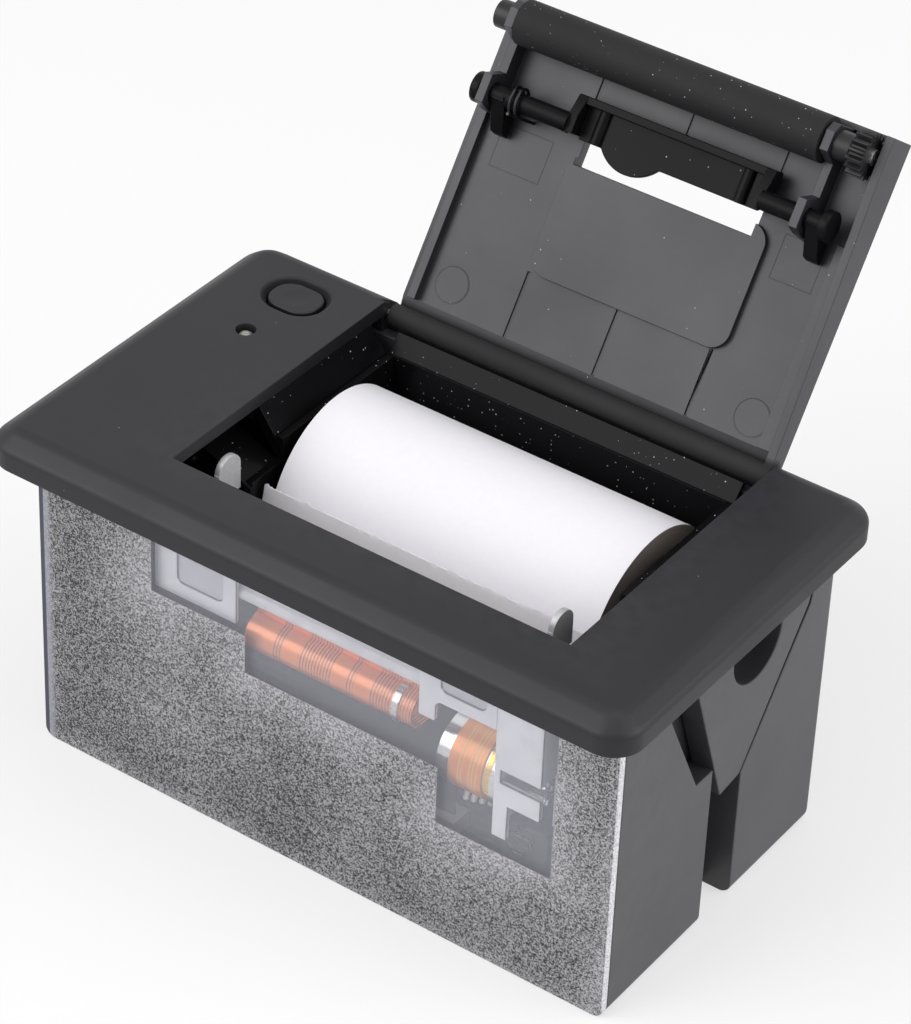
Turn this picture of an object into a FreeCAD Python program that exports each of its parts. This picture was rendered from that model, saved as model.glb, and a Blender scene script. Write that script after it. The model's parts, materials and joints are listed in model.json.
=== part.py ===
import FreeCAD, Part
import math
import os

os.makedirs("parts", exist_ok=True)

Vector = FreeCAD.Vector

# A thermal receipt printer that drops into a panel cut-out, with its lid standing open.
# Millimetres, +X right, +Y back, +Z up. The origin is the centre of the housing's base.
# The lid's pieces are drawn shut and then swung open about the hinge.

# Body and bezel
BODY_W = 102.0
BODY_D = 56.0
BODY_H = 53.5          # base to the underside of the bezel
WALL = 2.0
BODY_ROUND = 1.8
COVER_T = 1.2
OVER_SIDE = 4.5        # bezel beyond the body at each side
OVER_FRONT = 7.0
OVER_BACK = 2.8
BEZEL_ROUND = 5.0
RIM_H = 3.4
BEVEL_H = 2.2
BEVEL_W = 2.9
DECK = 2.2             # top wall of the bezel
SEAT = 0.5             # how far the body's rim enters the bezel
FIT = 0.1
RUN = 0.05             # radial running clearance
SNUG = 0.02            # radial clearance of fixed pins and screws

# Levels and walls that follow
BX = BODY_W / 2
BY = BODY_D / 2
COVER_BACK = -BY + COVER_T
SEAT_Z = BODY_H + SEAT
BEZEL_TOP = BODY_H + RIM_H + BEVEL_H
BEZEL_FRONT = BY + OVER_FRONT
BEZEL_BACK = BY + OVER_BACK
DECK_Z = BEZEL_TOP - DECK

# Lid opening in the bezel, and the lid's hinge
OPEN_LEFT = -BX + 21.6
OPEN_RIGHT = BX - 12.0
OPEN_FRONT = -BY + 4.4
HINGE_Y = BEZEL_BACK - 2.4
HINGE_DROP = 2.6       # hinge axis below the bezel's top
HINGE_Z = BEZEL_TOP - HINGE_DROP
LID_ANGLE = 125.0
LID_GAP = 0.7
LID_T = 2.1
LID_WALL = 1.4
LID_LEFT_H = 3.5       # height of the left wall, skin included
LID_RIGHT_H0 = 3.4     # right wall at the hinge
LID_RIGHT_H1 = 6.4     # right wall at the free edge
RIB_W = 2.4            # low rib along the right wall
RIB_H = 0.6
BARREL_R = 1.7
FOOT_BEVEL_W = 3.3     # bevel inside the lid's foot
FOOT_BEVEL_H = 0.8
SILL_GAP = 0.4         # hinge barrel to the sill below it
PIN_R = 0.8
PIN_L = 6.8
PIN_IN_BEZEL = 3.0
LID_LEFT = OPEN_LEFT + LID_GAP
LID_RIGHT = OPEN_RIGHT - LID_GAP
LID_FRONT = OPEN_FRONT + LID_GAP
LID_IN = BEZEL_TOP - LID_T

# Platen roller, lid shut
PLATEN_Y = COVER_BACK + 7.5
PLATEN_Z = BEZEL_TOP - 6.1
PLATEN_R = 3.5
RUBBER_X = (OPEN_LEFT + 5.5, OPEN_RIGHT - 10.3)
SHAFT_R = 1.25
BUSH_R = 2.2
BUSH_LEFT = OPEN_LEFT + 1.2
BUSH_RIGHT = RUBBER_X[1] + 4.3
BRACKET_T = 1.4
BRACKET_GAP = 0.3
LEFT_BRACKET = RUBBER_X[0] - BRACKET_GAP - BRACKET_T
RIGHT_BRACKET = RUBBER_X[1] + BRACKET_GAP

# Release lever, lid shut
LEVER_Y = PLATEN_Y + 11.3
LEVER_Z = BEZEL_TOP - 6.6
LEVER_R = 1.5
LEVER_DISC_R = 2.4
LEVER_DISC_T = 1.4
FOOT_W = 2.4
HANDLE_Y = (LEVER_Y - 4.6, LEVER_Y + 1.8)
HANDLE_T = 1.6
HANDLE_GAP = 0.8       # handle to the underside of the lid's skin
ARM_W = 1.6
THUMB_R = 6.4          # rounded thumb pad at the handle's back edge
THUMB_OUT = 2.4
SPRING_WIRE = 0.5
SPRING_TURNS = 2
SPRING_GAP = 0.4       # spring to the lever
SPRING_TURN_GAP = 0.5

# Finger opening and finger dish of the lid
FINGER_X = (OPEN_LEFT + 19.9, OPEN_RIGHT - 17.5)
FINGER_Y = (LEVER_Y - 3.6, LEVER_Y + 5.5)
DISH_X = (OPEN_LEFT + 19.0, OPEN_RIGHT - 14.8)
DISH_Y1 = HINGE_Y - 13.7
DISH_DROP = 0.9
DISH_WALL = 0.9
DISH_ROUND = 3.0
GROOVE_X = (OPEN_LEFT + 19.2, OPEN_LEFT + 35.1, OPEN_RIGHT - 17.0)
GROOVE_W = 0.5
GROOVE_D = 0.3

# Gears (module in mm, tooth counts)
MODULE = 0.4
PLATEN_TEETH = 16
UPPER_TEETH = 22
LOWER_TEETH = 20
PINION_TEETH = 12
GEAR_W = 2.6
GEAR_X = OPEN_RIGHT - 5.6
TIP_GAP = 0.3          # platen gear to upper idler, lid shut
UPPER_LEAN = 8.0       # lower idler leans back from straight below the upper one
LOWER_LEAN = -23.0     # pinion leans forward from straight below the lower idler
POST_R = 0.9

# Print mechanism
FRAME_LEFT = OPEN_LEFT - 1.1
FRAME_T = 0.8
FRAME_Y = COVER_BACK + 0.2
FRAME_BASE = BEZEL_TOP - 21.5
FRAME_TOP = BEZEL_TOP - 9.1
POCKET_D = 0.45        # sunk panels in the frame's front
SIDE_T = 1.2
SIDE_LEFT = OPEN_LEFT + 0.8
SIDE_BACK = COVER_BACK + 13.8
GUIDE_T = 1.2
GUIDE_TOP = FRAME_TOP - 2.0
WINDOW_ROUND = 1.2
EAR_T = 1.0
EAR_GAP = 0.4          # fork to bushing
EAR_PRONG = 2.4
EAR_WIDE = 5.0         # broad tip of the back prong, above the guide bar
EAR_RISE = 2.2         # prong tops above the platen axis
BRACKET_PLATE = 1.0
BRACKET_LEFT = OPEN_RIGHT - 9.2
BRACKET_RIGHT = OPEN_RIGHT - 2.4
BRACKET_BASE = BEZEL_TOP - 35.1
BRACKET_TOP = BEZEL_TOP - 10.1
BRACKET_SET = 5.0      # lower part of the right plate, behind the front plate
MOTOR_R = 5.5
MOTOR_LEN = 9.2
MOTOR_WALL = 0.8
ROTOR_R = 3.8
MOTOR_SHAFT_R = 0.75
FLANGE_T = 1.0
WRAP_T = 0.3
WRAP_W = 5.6
SOLDER_R = 0.45
SOLDER_L = 1.8
FLEX_Y = COVER_BACK + 3.8
FLEX_Z = BEZEL_TOP - 23.8
FLEX_R = 3.05
FLEX_T = 0.4
FLEX_X = (OPEN_LEFT + 14.9, OPEN_RIGHT - 24.0)
FLEX_TAIL_Y = COVER_BACK + 13.2
RING_X = FLEX_X[1] - 3.4
RING_W = 1.1
HEAD_X = (OPEN_LEFT + 6.4, OPEN_RIGHT - 11.0)
HEAD_T = 1.1
HEAD_GAP = 0.4         # heater strip to platen
CERAMIC_T = 0.7
HEAD_PIVOT_Z = BEZEL_TOP - 16.7
HEAD_PIN_R = 0.6
HEAD_LUG_R = 1.3
HEAD_TOP = BEZEL_TOP - 4.1
LEAF_X = (OPEN_LEFT + 23.4, OPEN_RIGHT - 31.0)

# Paper bin between the mechanism and the hinge, and the roll that fits it
BIN_FRONT = SIDE_BACK + 2.2
BIN_BACK = HINGE_Y - 3.6
BIN_T = 1.2
BIN_GAP = 0.6          # roll to trough
BIN_END_GAP = 1.6
BIN_LIP = 1.0          # reach of the left ledge under the bezel
BIN_FRONT_TOP = BEZEL_TOP - 15.1
BIN_CHEEK_TOP = BEZEL_TOP - 9.9    # end walls in front, below the shut lid's lever
BIN_CHEEK_Y = LEVER_Y + 4.5
BIN_APRON = 5.8        # reach of the sloped apron beyond the opening's left edge
BIN_STEP_BACK = BIN_BACK - 6.8     # right ledge, in front of the bezel screw
FLARE_Y = HINGE_Y - 1.5            # flared top of the back wall, under the hinge barrel
FLARE_GAP = 0.3
BIN_R = (BIN_BACK - BIN_FRONT) / 2 - BIN_T
ROLL_Y = (BIN_FRONT + BIN_BACK) / 2
ROLL_Z = BEZEL_TOP - 19.6
ROLL_R = BIN_R - BIN_GAP
ROLL_X = (OPEN_LEFT + 6.0, OPEN_RIGHT - 6.6)
BIN_LEFT = ROLL_X[0] - BIN_END_GAP
BIN_RIGHT = ROLL_X[1] + BIN_END_GAP
CORE_R = 6.4
CORE_WALL = 1.4
PAPER_T = 0.2
LEADER_TOP = BEZEL_TOP - 10.7
LEADER_LEAN = 1.0      # torn edge of the leader, back from its foot

# Feed button and lamp
BUTTON = (-BX + 10.3, BY - 8.1)
BUTTON_W = 8.6
BUTTON_D = 6.8
BUTTON_ROUND = 3.1
BUTTON_GAP = 0.3
BUTTON_SINK = 0.3
BUTTON_TRAVEL = 0.6
BUTTON_DISH_W = 1.0    # sloped ring in the bezel round the button
BUTTON_DISH_D = 0.9
CAP_FLANGE = 0.9       # flange that keeps the cap under the bezel
KEY_BOSS_R = 1.8
LAMP = (-BX + 9.8, BY - 19.7)
LAMP_R = 1.45
KEY_BOARD_X = (-BX + 7.0, -BX + 15.6)
KEY_BOARD_Y = (BY - 25.0, BY - 3.0)
KEY_BOARD_Z = BEZEL_TOP - 11.1
PCB_T = 1.2
KEY_TOP = KEY_BOARD_Z + PCB_T

# Control board and sockets
BOARD_X = (-BX + 9.0, BX - 9.0)
BOARD_Y = (COVER_BACK + 10.8, BY - 6.0)
BOARD_LIFT = 3.0
BOARD_Z = WALL + BOARD_LIFT
BOARD_TOP = BOARD_Z + PCB_T
STANDOFF_R = 2.5
SOCKET_GAP = 0.3
SOCKET_H = 6.0
POWER_X = (BOARD_X[0] + 12.0, BOARD_X[0] + 21.0)
DATA_X = (-12.0, 4.0)
USB_X = (BOARD_X[1] - 26.0, BOARD_X[1] - 18.0)
SOCKET_WALL = 0.8
SOCKET_DEEP = 6.0

# Mounting clips and the side channels
CLIP_Y = 1.2
CHANNEL_W = 8.0
CHANNEL_D = 5.0
RECESS_D = 4.4
CLIP_T = 4.0
CLIP_TOP = BODY_H - 2.5
CLIP_TIP_Z = CLIP_TOP - 28.3
CLIP_GAP = 0.4
CLIP_TRAVEL = 2.0
FINGER_HOLE_R = 6.2

# Screws
SCREW_R = 1.0
SCREW_HEAD_R = 1.9
SCREW_HEAD_H = 1.2
LEDGE_T = 8.0
BEZEL_SCREW_AT = (
    (-BX + 6.0, -BY + 6.0), (BX - 6.0, -BY + 6.0), (BX - 9.0, BY - 6.0), (OPEN_LEFT - 3.2, BY - 5.5))
BEZEL_SCREW_BITE = 3.4
BOSS_X = 2.0           # half sizes of the square bosses round these screws
BOSS_Y = 2.5


def box(x0, x1, y0, y1, z0, z1):
    return Part.makeBox(x1 - x0, y1 - y0, z1 - z0, Vector(x0, y0, z0))


def rod(x0, x1, y, z, radius):
    """Cylinder along X."""
    return Part.makeCylinder(radius, x1 - x0, Vector(x0, y, z), Vector(1, 0, 0))


def tube(x0, x1, y, z, outer, inner):
    return rod(x0, x1, y, z, outer).cut(rod(x0, x1, y, z, inner))


def post(x, y, z0, z1, radius):
    """Cylinder along Z."""
    return Part.makeCylinder(radius, z1 - z0, Vector(x, y, z0))


def prism_x(outline, x0, x1):
    """Outline of (y, z) points, drawn out along X."""
    points = [Vector(x0, y, z) for y, z in outline]
    face = Part.Face(Part.makePolygon(points + points[:1]))
    return face.extrude(Vector(x1 - x0, 0, 0))


def prism_y(outline, y0, y1):
    """Outline of (x, z) points, drawn out along Y."""
    points = [Vector(x, y0, z) for x, z in outline]
    face = Part.Face(Part.makePolygon(points + points[:1]))
    return face.extrude(Vector(0, y1 - y0, 0))


def fused(shapes):
    return shapes[0].multiFuse(shapes[1:]).removeSplitter()


def lines_along(shape, axis):
    """Straight edges of a shape that run along one axis."""
    found = []
    for edge in shape.Edges:
        way = edge.Vertexes[-1].Point - edge.Vertexes[0].Point
        if way.Length > 0 and abs(way.normalize().dot(axis)) > 0.999:
            found.append(edge)
    return found


def slab(x0, x1, y0, y1, z0, z1, radius):
    """Plate with its four upright corners rounded."""
    plate = box(x0, x1, y0, y1, z0, z1)
    return plate.makeFillet(radius, lines_along(plate, Vector(0, 0, 1)))


def window(x0, x1, y0, y1, z0, z1, radius):
    """Cutter along Y with rounded corners, for openings in a front-facing plate."""
    block = box(x0, x1, y0, y1, z0, z1)
    return block.makeFillet(radius, lines_along(block, Vector(0, 1, 0)))


def mirrored(shape):
    return shape.mirror(Vector(0, 0, 0), Vector(1, 0, 0))


def opened(shape):
    """Swing a piece of the shut lid to where it stands in the photo."""
    turned = shape.copy()
    turned.rotate(Vector(0, HINGE_Y, HINGE_Z), Vector(-1, 0, 0), LID_ANGLE)
    return turned


def gear(x, y, z, teeth, bore, phase):
    """Spur gear about an axis along X, with one tooth's middle at the given angle from +Y."""
    pitch = MODULE * teeth / 2
    root = pitch - 1.2 * MODULE
    tip = pitch + 0.9 * MODULE
    step = 2 * math.pi / teeth
    outline = []
    for tooth in range(teeth):
        middle = math.radians(phase) + tooth * step
        for radius, share in ((root, -0.32), (tip, -0.12), (tip, 0.12), (root, 0.32)):
            angle = middle + share * step
            outline.append((y + radius * math.cos(angle), z + radius * math.sin(angle)))
    return prism_x(outline, x, x + GEAR_W).cut(rod(x - 1, x + GEAR_W + 1, y, z, bore))


def meshed_phase(first_phase, first_teeth, second_teeth, way):
    """Phase that sets a gap of the second gear on a tooth of the first, met along an angle."""
    lead = (way - first_phase) * first_teeth / second_teeth
    return way + 180 + lead + 180 / second_teeth


def save(name, shape):
    if not shape.isValid():
        raise ValueError(name + " is not a valid shape")
    shape.exportStep("parts/" + name + ".step")


# Bezel: a bevelled plate, hollow below, with the lid opening running out through its back
def rounded_wire(x0, x1, y0, y1, z, radius):
    plate = slab(x0, x1, y0, y1, z, z + 1, radius)
    bottom = min(plate.Faces, key=lambda face: face.CenterOfMass.z)
    return bottom.OuterWire


rim_z = BODY_H + RIM_H
half_w = BX + OVER_SIDE
rim = slab(-half_w, half_w, -BEZEL_FRONT, BEZEL_BACK, BODY_H, rim_z, BEZEL_ROUND)
low_wire = rounded_wire(-half_w, half_w, -BEZEL_FRONT, BEZEL_BACK, rim_z, BEZEL_ROUND)
high_wire = rounded_wire(
    BEVEL_W - half_w, half_w - BEVEL_W, BEVEL_W - BEZEL_FRONT, BEZEL_BACK - BEVEL_W,
    BEZEL_TOP, BEZEL_ROUND - BEVEL_W)
bezel = fused([rim, Part.makeLoft([low_wire, high_wire], True, True)])
hollow_back = HINGE_Y - PIN_R - 1.2
hollow = box(WALL - BX, BX - WALL, WALL - BY, hollow_back, BODY_H, DECK_Z)
for x, y in BEZEL_SCREW_AT:
    hollow = hollow.cut(box(x - BOSS_X, x + BOSS_X, y - BOSS_Y, y + BOSS_Y, BODY_H, DECK_Z))
bezel = bezel.cut(hollow)
bezel = bezel.cut(box(-BX - FIT, BX + FIT, -BY - FIT, BY + FIT, BODY_H, SEAT_Z))
bezel = bezel.cut(box(OPEN_LEFT, OPEN_RIGHT, OPEN_FRONT, BY + FIT, BODY_H - 1, BEZEL_TOP + 1))
sill_z = HINGE_Z - BARREL_R - SILL_GAP
bezel = bezel.cut(box(OPEN_LEFT, OPEN_RIGHT, BY - WALL, BEZEL_BACK + 1, sill_z, BEZEL_TOP + 1))
pin_left = OPEN_LEFT - PIN_IN_BEZEL
pin_right = OPEN_RIGHT + PIN_IN_BEZEL
bezel = bezel.cut(rod(pin_left - 0.3, OPEN_LEFT + 1, HINGE_Y, HINGE_Z, PIN_R + RUN))
bezel = bezel.cut(rod(OPEN_RIGHT - 1, pin_right + 0.3, HINGE_Y, HINGE_Z, PIN_R + RUN))
button_x0 = BUTTON[0] - BUTTON_W / 2
button_x1 = BUTTON[0] + BUTTON_W / 2
button_y0 = BUTTON[1] - BUTTON_D / 2
button_y1 = BUTTON[1] + BUTTON_D / 2
bezel = bezel.cut(slab(
    button_x0 - BUTTON_GAP, button_x1 + BUTTON_GAP, button_y0 - BUTTON_GAP, button_y1 + BUTTON_GAP,
    BODY_H, BEZEL_TOP + 1, BUTTON_ROUND + BUTTON_GAP))
ring_low = rounded_wire(
    button_x0 - BUTTON_GAP, button_x1 + BUTTON_GAP, button_y0 - BUTTON_GAP, button_y1 + BUTTON_GAP,
    BEZEL_TOP - BUTTON_DISH_D, BUTTON_ROUND + BUTTON_GAP)
ring_out = BUTTON_GAP + BUTTON_DISH_W
ring_high = rounded_wire(
    button_x0 - ring_out, button_x1 + ring_out, button_y0 - ring_out, button_y1 + ring_out,
    BEZEL_TOP, BUTTON_ROUND + ring_out)
bezel = bezel.cut(Part.makeLoft([ring_low, ring_high], True, True))
bezel = bezel.cut(post(LAMP[0], LAMP[1], BODY_H, BEZEL_TOP + 1, LAMP_R + FIT))
key_screw_y = button_y0 - CAP_FLANGE - KEY_BOSS_R - BUTTON_GAP
KEY_SCREW_AT = ((KEY_BOARD_X[0] + 2.0, key_screw_y), (KEY_BOARD_X[1] - 2.0, key_screw_y))
for x, y in KEY_SCREW_AT:
    boss = post(x, y, KEY_TOP, DECK_Z, KEY_BOSS_R)
    bezel = bezel.fuse(boss).cut(post(x, y, KEY_TOP - 1, KEY_TOP + 4, SCREW_R + SNUG))
for x, y in BEZEL_SCREW_AT:
    bezel = bezel.cut(post(x, y, BODY_H, SEAT_Z + BEZEL_SCREW_BITE, SCREW_R + SNUG))
bezel = bezel.removeSplitter()
save("bezel", bezel)

# Mounting clip outline, seen from the right side, and the recess it sits in
clip_left = CLIP_Y - 1.4
clip_outline = [
    (clip_left, CLIP_TIP_Z), (CLIP_Y + 3.4, CLIP_TIP_Z + 0.7), (CLIP_Y + 19.1, CLIP_TOP - 6.0),
    (CLIP_Y + 20.8, CLIP_TOP), (CLIP_Y - 11.6, CLIP_TOP)]
channel_y0 = CLIP_Y - CHANNEL_W / 2
channel_y1 = CLIP_Y + CHANNEL_W / 2
recess_foot = CLIP_TIP_Z + 6.6
recess_outline = [
    (CLIP_Y - 8.3, recess_foot), (clip_left - 0.3, recess_foot), (clip_left - 0.3, CLIP_TIP_Z - CLIP_GAP),
    (CLIP_Y + 3.6, CLIP_TIP_Z + 0.7 - CLIP_GAP), (CLIP_Y + 19.6, CLIP_TOP - 6.0 - CLIP_GAP),
    (CLIP_Y + 22.0, SEAT_Z + 1), (CLIP_Y - 20.9, SEAT_Z + 1)]
pad_outline = [
    (CLIP_Y - 10.5, recess_foot - WALL), (CLIP_Y - 6.0, CLIP_TIP_Z - 1.5 * WALL),
    (CLIP_Y + 6.2, CLIP_TIP_Z - 1.5 * WALL), (CLIP_Y + 22.0, CLIP_TOP - 8.0),
    (CLIP_Y + 23.4, SEAT_Z), (CLIP_Y - 23.0, SEAT_Z)]
channel_floor = BX - CHANNEL_D
recess_floor = BX - RECESS_D
stem_y = (CLIP_Y - 1.2, CLIP_Y + 1.2)
stem_z = (CLIP_TIP_Z + 11.3, CLIP_TIP_Z + 17.3)
catch_x = recess_floor - WALL - CLIP_GAP

# Housing: open-topped and open-fronted box with the two side channels
outer = box(-BX, BX, COVER_BACK, BY, 0, SEAT_Z)
soft_edges = []
for edge in outer.Edges:
    middle = edge.CenterOfMass
    at_side = abs(abs(middle.x) - BX) < 0.01
    at_back = abs(middle.y - BY) < 0.01
    at_base = abs(middle.z) < 0.01
    if (at_side and at_back) or (at_base and at_side) or (at_base and at_back):
        soft_edges.append(edge)
housing = outer.makeFillet(BODY_ROUND, soft_edges)
inner_x = BX - WALL
housing = housing.cut(box(-inner_x, inner_x, COVER_BACK - 1, BY - WALL, WALL, SEAT_Z + 1))
right_pad = prism_x(pad_outline, recess_floor - WALL, inner_x)
channel_pad = box(
    channel_floor - WALL, inner_x, channel_y0 - WALL, channel_y1 + WALL, 0.5 * WALL, recess_foot)
right_cut = prism_x(recess_outline, recess_floor, BX + 1)
right_cut = right_cut.fuse(box(channel_floor, BX + 1, channel_y0, channel_y1, -1, recess_foot))
right_cut = right_cut.fuse(box(
    channel_floor - WALL - 1, BX, stem_y[0] - 0.3, stem_y[1] + 0.3,
    stem_z[0] - CLIP_GAP, stem_z[1] + CLIP_TRAVEL + CLIP_GAP))
ledges = []
for x, y in BEZEL_SCREW_AT:
    wall_x = math.copysign(inner_x + 0.5, x) if abs(x) > BX - 10 else x
    wall_y = BY - WALL + 0.5 if y > 0 else y
    ledges.append(box(
        min(x - BOSS_X, wall_x), max(x + BOSS_X, wall_x), min(y - BOSS_Y, wall_y), max(y + BOSS_Y, wall_y),
        SEAT_Z - LEDGE_T, SEAT_Z))
standoff_at = [(x, y) for x in (BOARD_X[0] + 4, BOARD_X[1] - 4) for y in (BOARD_Y[0] + 4, BOARD_Y[1] - 4)]
feet = [post(x, y, 0.5 * WALL, BOARD_Z, STANDOFF_R) for x, y in standoff_at]
mech_back = BOARD_Y[0] - 1.0
leg_front = COVER_BACK + 3
left_leg = box(FRAME_LEFT, SIDE_LEFT + 3.0, leg_front, mech_back, 0.5 * WALL, FRAME_BASE)
right_leg = box(BRACKET_LEFT, BRACKET_RIGHT + BRACKET_PLATE, leg_front, mech_back, 0.5 * WALL, BRACKET_BASE)
pads = [right_pad, channel_pad, mirrored(right_pad), mirrored(channel_pad)]
housing = fused([housing] + pads + ledges + feet + [left_leg, right_leg])
housing = housing.cut(right_cut).cut(mirrored(right_cut))
for x, y in BEZEL_SCREW_AT:
    housing = housing.cut(post(x, y, SEAT_Z - LEDGE_T - 1, SEAT_Z + 1, SCREW_R + 0.1))
for x, y in standoff_at:
    housing = housing.cut(post(x, y, WALL, BOARD_Z + 1, SCREW_R + SNUG))
for x0, x1 in (POWER_X, DATA_X, USB_X):
    housing = housing.cut(box(
        x0 - SOCKET_GAP, x1 + SOCKET_GAP, BY - WALL - 1, BY + 1,
        BOARD_TOP - SOCKET_GAP, BOARD_TOP + SOCKET_H + SOCKET_GAP))
bolt_at = Vector(BRACKET_LEFT + 3.6, leg_front, BRACKET_BASE - 2.6)
forward = Vector(0, -1, 0)
bolt_hole = Part.makeCylinder(SCREW_R + SNUG, 4.0, bolt_at + forward * -3.5, forward)
housing = housing.cut(bolt_hole).removeSplitter()
save("housing", housing)

# Clear front cover
cover = box(-BX, BX, -BY, COVER_BACK, 0, SEAT_Z)
low_corners = [edge for edge in lines_along(cover, Vector(0, 1, 0)) if edge.CenterOfMass.z < 1]
save("front_cover", cover.makeFillet(BODY_ROUND, low_corners))

# Mounting clips: plate with a finger hole, a stem through the housing wall and a catch behind it
clip = prism_x(clip_outline, BX - CLIP_T, BX)
hole_y = CLIP_Y + 5.5
finger_hole = rod(BX - CLIP_T - 1, BX + 1, hole_y, CLIP_TOP - 5.0, FINGER_HOLE_R)
finger_hole = finger_hole.cut(box(
    BX - CLIP_T - 2, BX + 2, hole_y - 9, hole_y + 9, CLIP_TOP - 2.4, CLIP_TOP + 9))
clip = clip.cut(finger_hole)
stem = box(catch_x - 0.2, BX - CLIP_T + 0.5, stem_y[0], stem_y[1], stem_z[0], stem_z[1])
catch = box(catch_x - 1.2, catch_x, stem_y[0] - 1.4, stem_y[1] + 1.4, stem_z[0] + 0.5, stem_z[1] - 0.5)
clip = fused([clip, stem, catch])
save("mounting_clip_right", clip)
save("mounting_clip_left", mirrored(clip))

# Paper bin: trough with end walls, a sloped ledge and apron at the left and a stepped ledge at the right
slot_r = BUSH_R + EAR_GAP
ear_y1 = PLATEN_Y + slot_r + EAR_WIDE
bin_top = SEAT_Z - 1.0
trough = rod(BIN_LEFT - BIN_T, BIN_RIGHT + BIN_T, ROLL_Y, ROLL_Z, BIN_R + BIN_T)
trough = trough.cut(box(BIN_LEFT - 9, BIN_RIGHT + 9, BIN_FRONT, BIN_BACK, ROLL_Z, ROLL_Z + BIN_R + 9))
trough = trough.fuse(box(BIN_LEFT - BIN_T, BIN_RIGHT + BIN_T, BIN_FRONT, BIN_BACK, ROLL_Z, bin_top))
cavity = rod(BIN_LEFT, BIN_RIGHT, ROLL_Y, ROLL_Z, BIN_R)
cavity = cavity.fuse(box(BIN_LEFT, BIN_RIGHT, BIN_FRONT + BIN_T, BIN_BACK - BIN_T, ROLL_Z, bin_top + 1))
left_ledge = prism_y([
    (OPEN_LEFT - BIN_LIP, DECK_Z), (OPEN_LEFT - 0.2, DECK_Z), (BIN_LEFT, bin_top - 2.4),
    (BIN_LEFT, bin_top - 4.0), (BIN_LEFT - BIN_T, bin_top - 4.0), (OPEN_LEFT - BIN_LIP, DECK_Z - 1.8)],
    BIN_CHEEK_Y, BIN_BACK - 1.0)
step_z = bin_top - 0.4
right_step = prism_y([
    (BIN_RIGHT, step_z), (OPEN_RIGHT + 0.2, step_z), (OPEN_RIGHT + 0.2, DECK_Z),
    (OPEN_RIGHT + 1.4, DECK_Z), (OPEN_RIGHT + 1.4, step_z - 1.2), (BIN_RIGHT, step_z - 1.2)],
    BIN_CHEEK_Y, BIN_STEP_BACK)
apron_x = OPEN_LEFT - BIN_APRON
apron_z = BIN_CHEEK_TOP + 3.4
apron = prism_y([
    (apron_x, apron_z), (BIN_LEFT, BIN_CHEEK_TOP - 0.7),
    (BIN_LEFT, BIN_CHEEK_TOP - 1.9), (apron_x, apron_z - 1.2)],
    ear_y1 + EAR_GAP, BIN_CHEEK_Y)
low_front = box(BIN_LEFT - 9, BIN_RIGHT + 9, BIN_FRONT - 1, BIN_CHEEK_Y, BIN_CHEEK_TOP, bin_top + 9)
low_lip = box(BIN_LEFT, BIN_RIGHT, BIN_FRONT - 1, BIN_FRONT + BIN_T + 0.01, BIN_FRONT_TOP, bin_top)
paper_bin = trough.cut(low_front).cut(cavity).cut(low_lip)
flare_z = SEAT_Z + FLARE_GAP
flare = prism_x([
    (BIN_BACK - BIN_T, bin_top - 1.0), (BIN_BACK - BIN_T, bin_top - 0.4), (FLARE_Y - 0.7, flare_z + 1.2),
    (FLARE_Y, flare_z + 0.4), (BY - WALL - FLARE_GAP, flare_z), (BIN_BACK, bin_top),
    (BIN_BACK, bin_top - 1.0)],
    BIN_LEFT - BIN_T, BIN_RIGHT + BIN_T)
paper_bin = fused([paper_bin, left_ledge.cut(cavity), right_step.cut(cavity), apron.cut(cavity), flare])
save("paper_bin", paper_bin)

# Paper: roll on its core, and the leader that stands in front of it
save("paper_roll", tube(ROLL_X[0], ROLL_X[1], ROLL_Y, ROLL_Z, ROLL_R, CORE_R))
save("roll_core", tube(ROLL_X[0], ROLL_X[1], ROLL_Y, ROLL_Z, CORE_R, CORE_R - CORE_WALL))
leader_y = BIN_FRONT + BIN_T + PAPER_T
leader_bend = BIN_FRONT_TOP + 0.8
leader = prism_x([
    (leader_y, ROLL_Z + 1), (leader_y, leader_bend), (leader_y + LEADER_LEAN, LEADER_TOP),
    (leader_y + LEADER_LEAN - PAPER_T, LEADER_TOP), (leader_y - PAPER_T, leader_bend),
    (leader_y - PAPER_T, ROLL_Z + 1)], ROLL_X[0] + 0.3, ROLL_X[1] - 0.3)
save("paper_leader", leader)

# Lid shell, drawn shut
lid_inside = LID_RIGHT - LID_WALL
skin = box(LID_LEFT, LID_RIGHT, LID_FRONT, HINGE_Y, LID_IN, BEZEL_TOP)
barrel = rod(LID_LEFT, LID_RIGHT, HINGE_Y, HINGE_Z, BARREL_R)
foot_bevel = prism_x([
    (HINGE_Y - FOOT_BEVEL_W, LID_IN), (HINGE_Y + 0.01, LID_IN + FOOT_BEVEL_H), (HINGE_Y + 1, LID_IN - 4),
    (HINGE_Y - FOOT_BEVEL_W, LID_IN - 4)], LID_LEFT - 1, lid_inside)
right_wall = prism_x([
    (LID_FRONT, LID_IN), (LID_FRONT, BEZEL_TOP - LID_RIGHT_H1), (LID_FRONT + 6, BEZEL_TOP - LID_RIGHT_H1),
    (HINGE_Y, BEZEL_TOP - LID_RIGHT_H0), (HINGE_Y, LID_IN)], lid_inside, LID_RIGHT)
left_wall = box(
    LID_LEFT + LID_WALL, LID_LEFT + 2 * LID_WALL, LID_FRONT, HINGE_Y - FOOT_BEVEL_W,
    BEZEL_TOP - LID_LEFT_H, LID_IN)
front_lip = box(LID_LEFT, LID_RIGHT, LID_FRONT, LID_FRONT + 0.9, LID_IN - 0.9, LID_IN)
rib = box(
    lid_inside - RIB_W, lid_inside, LEVER_Y + 2.0, HINGE_Y - FOOT_BEVEL_W, LID_IN - RIB_H, LID_IN)
dish_in = slab(DISH_X[0], DISH_X[1], FINGER_Y[1] - 2, DISH_Y1, LID_IN - DISH_DROP, LID_IN, DISH_ROUND)
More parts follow.
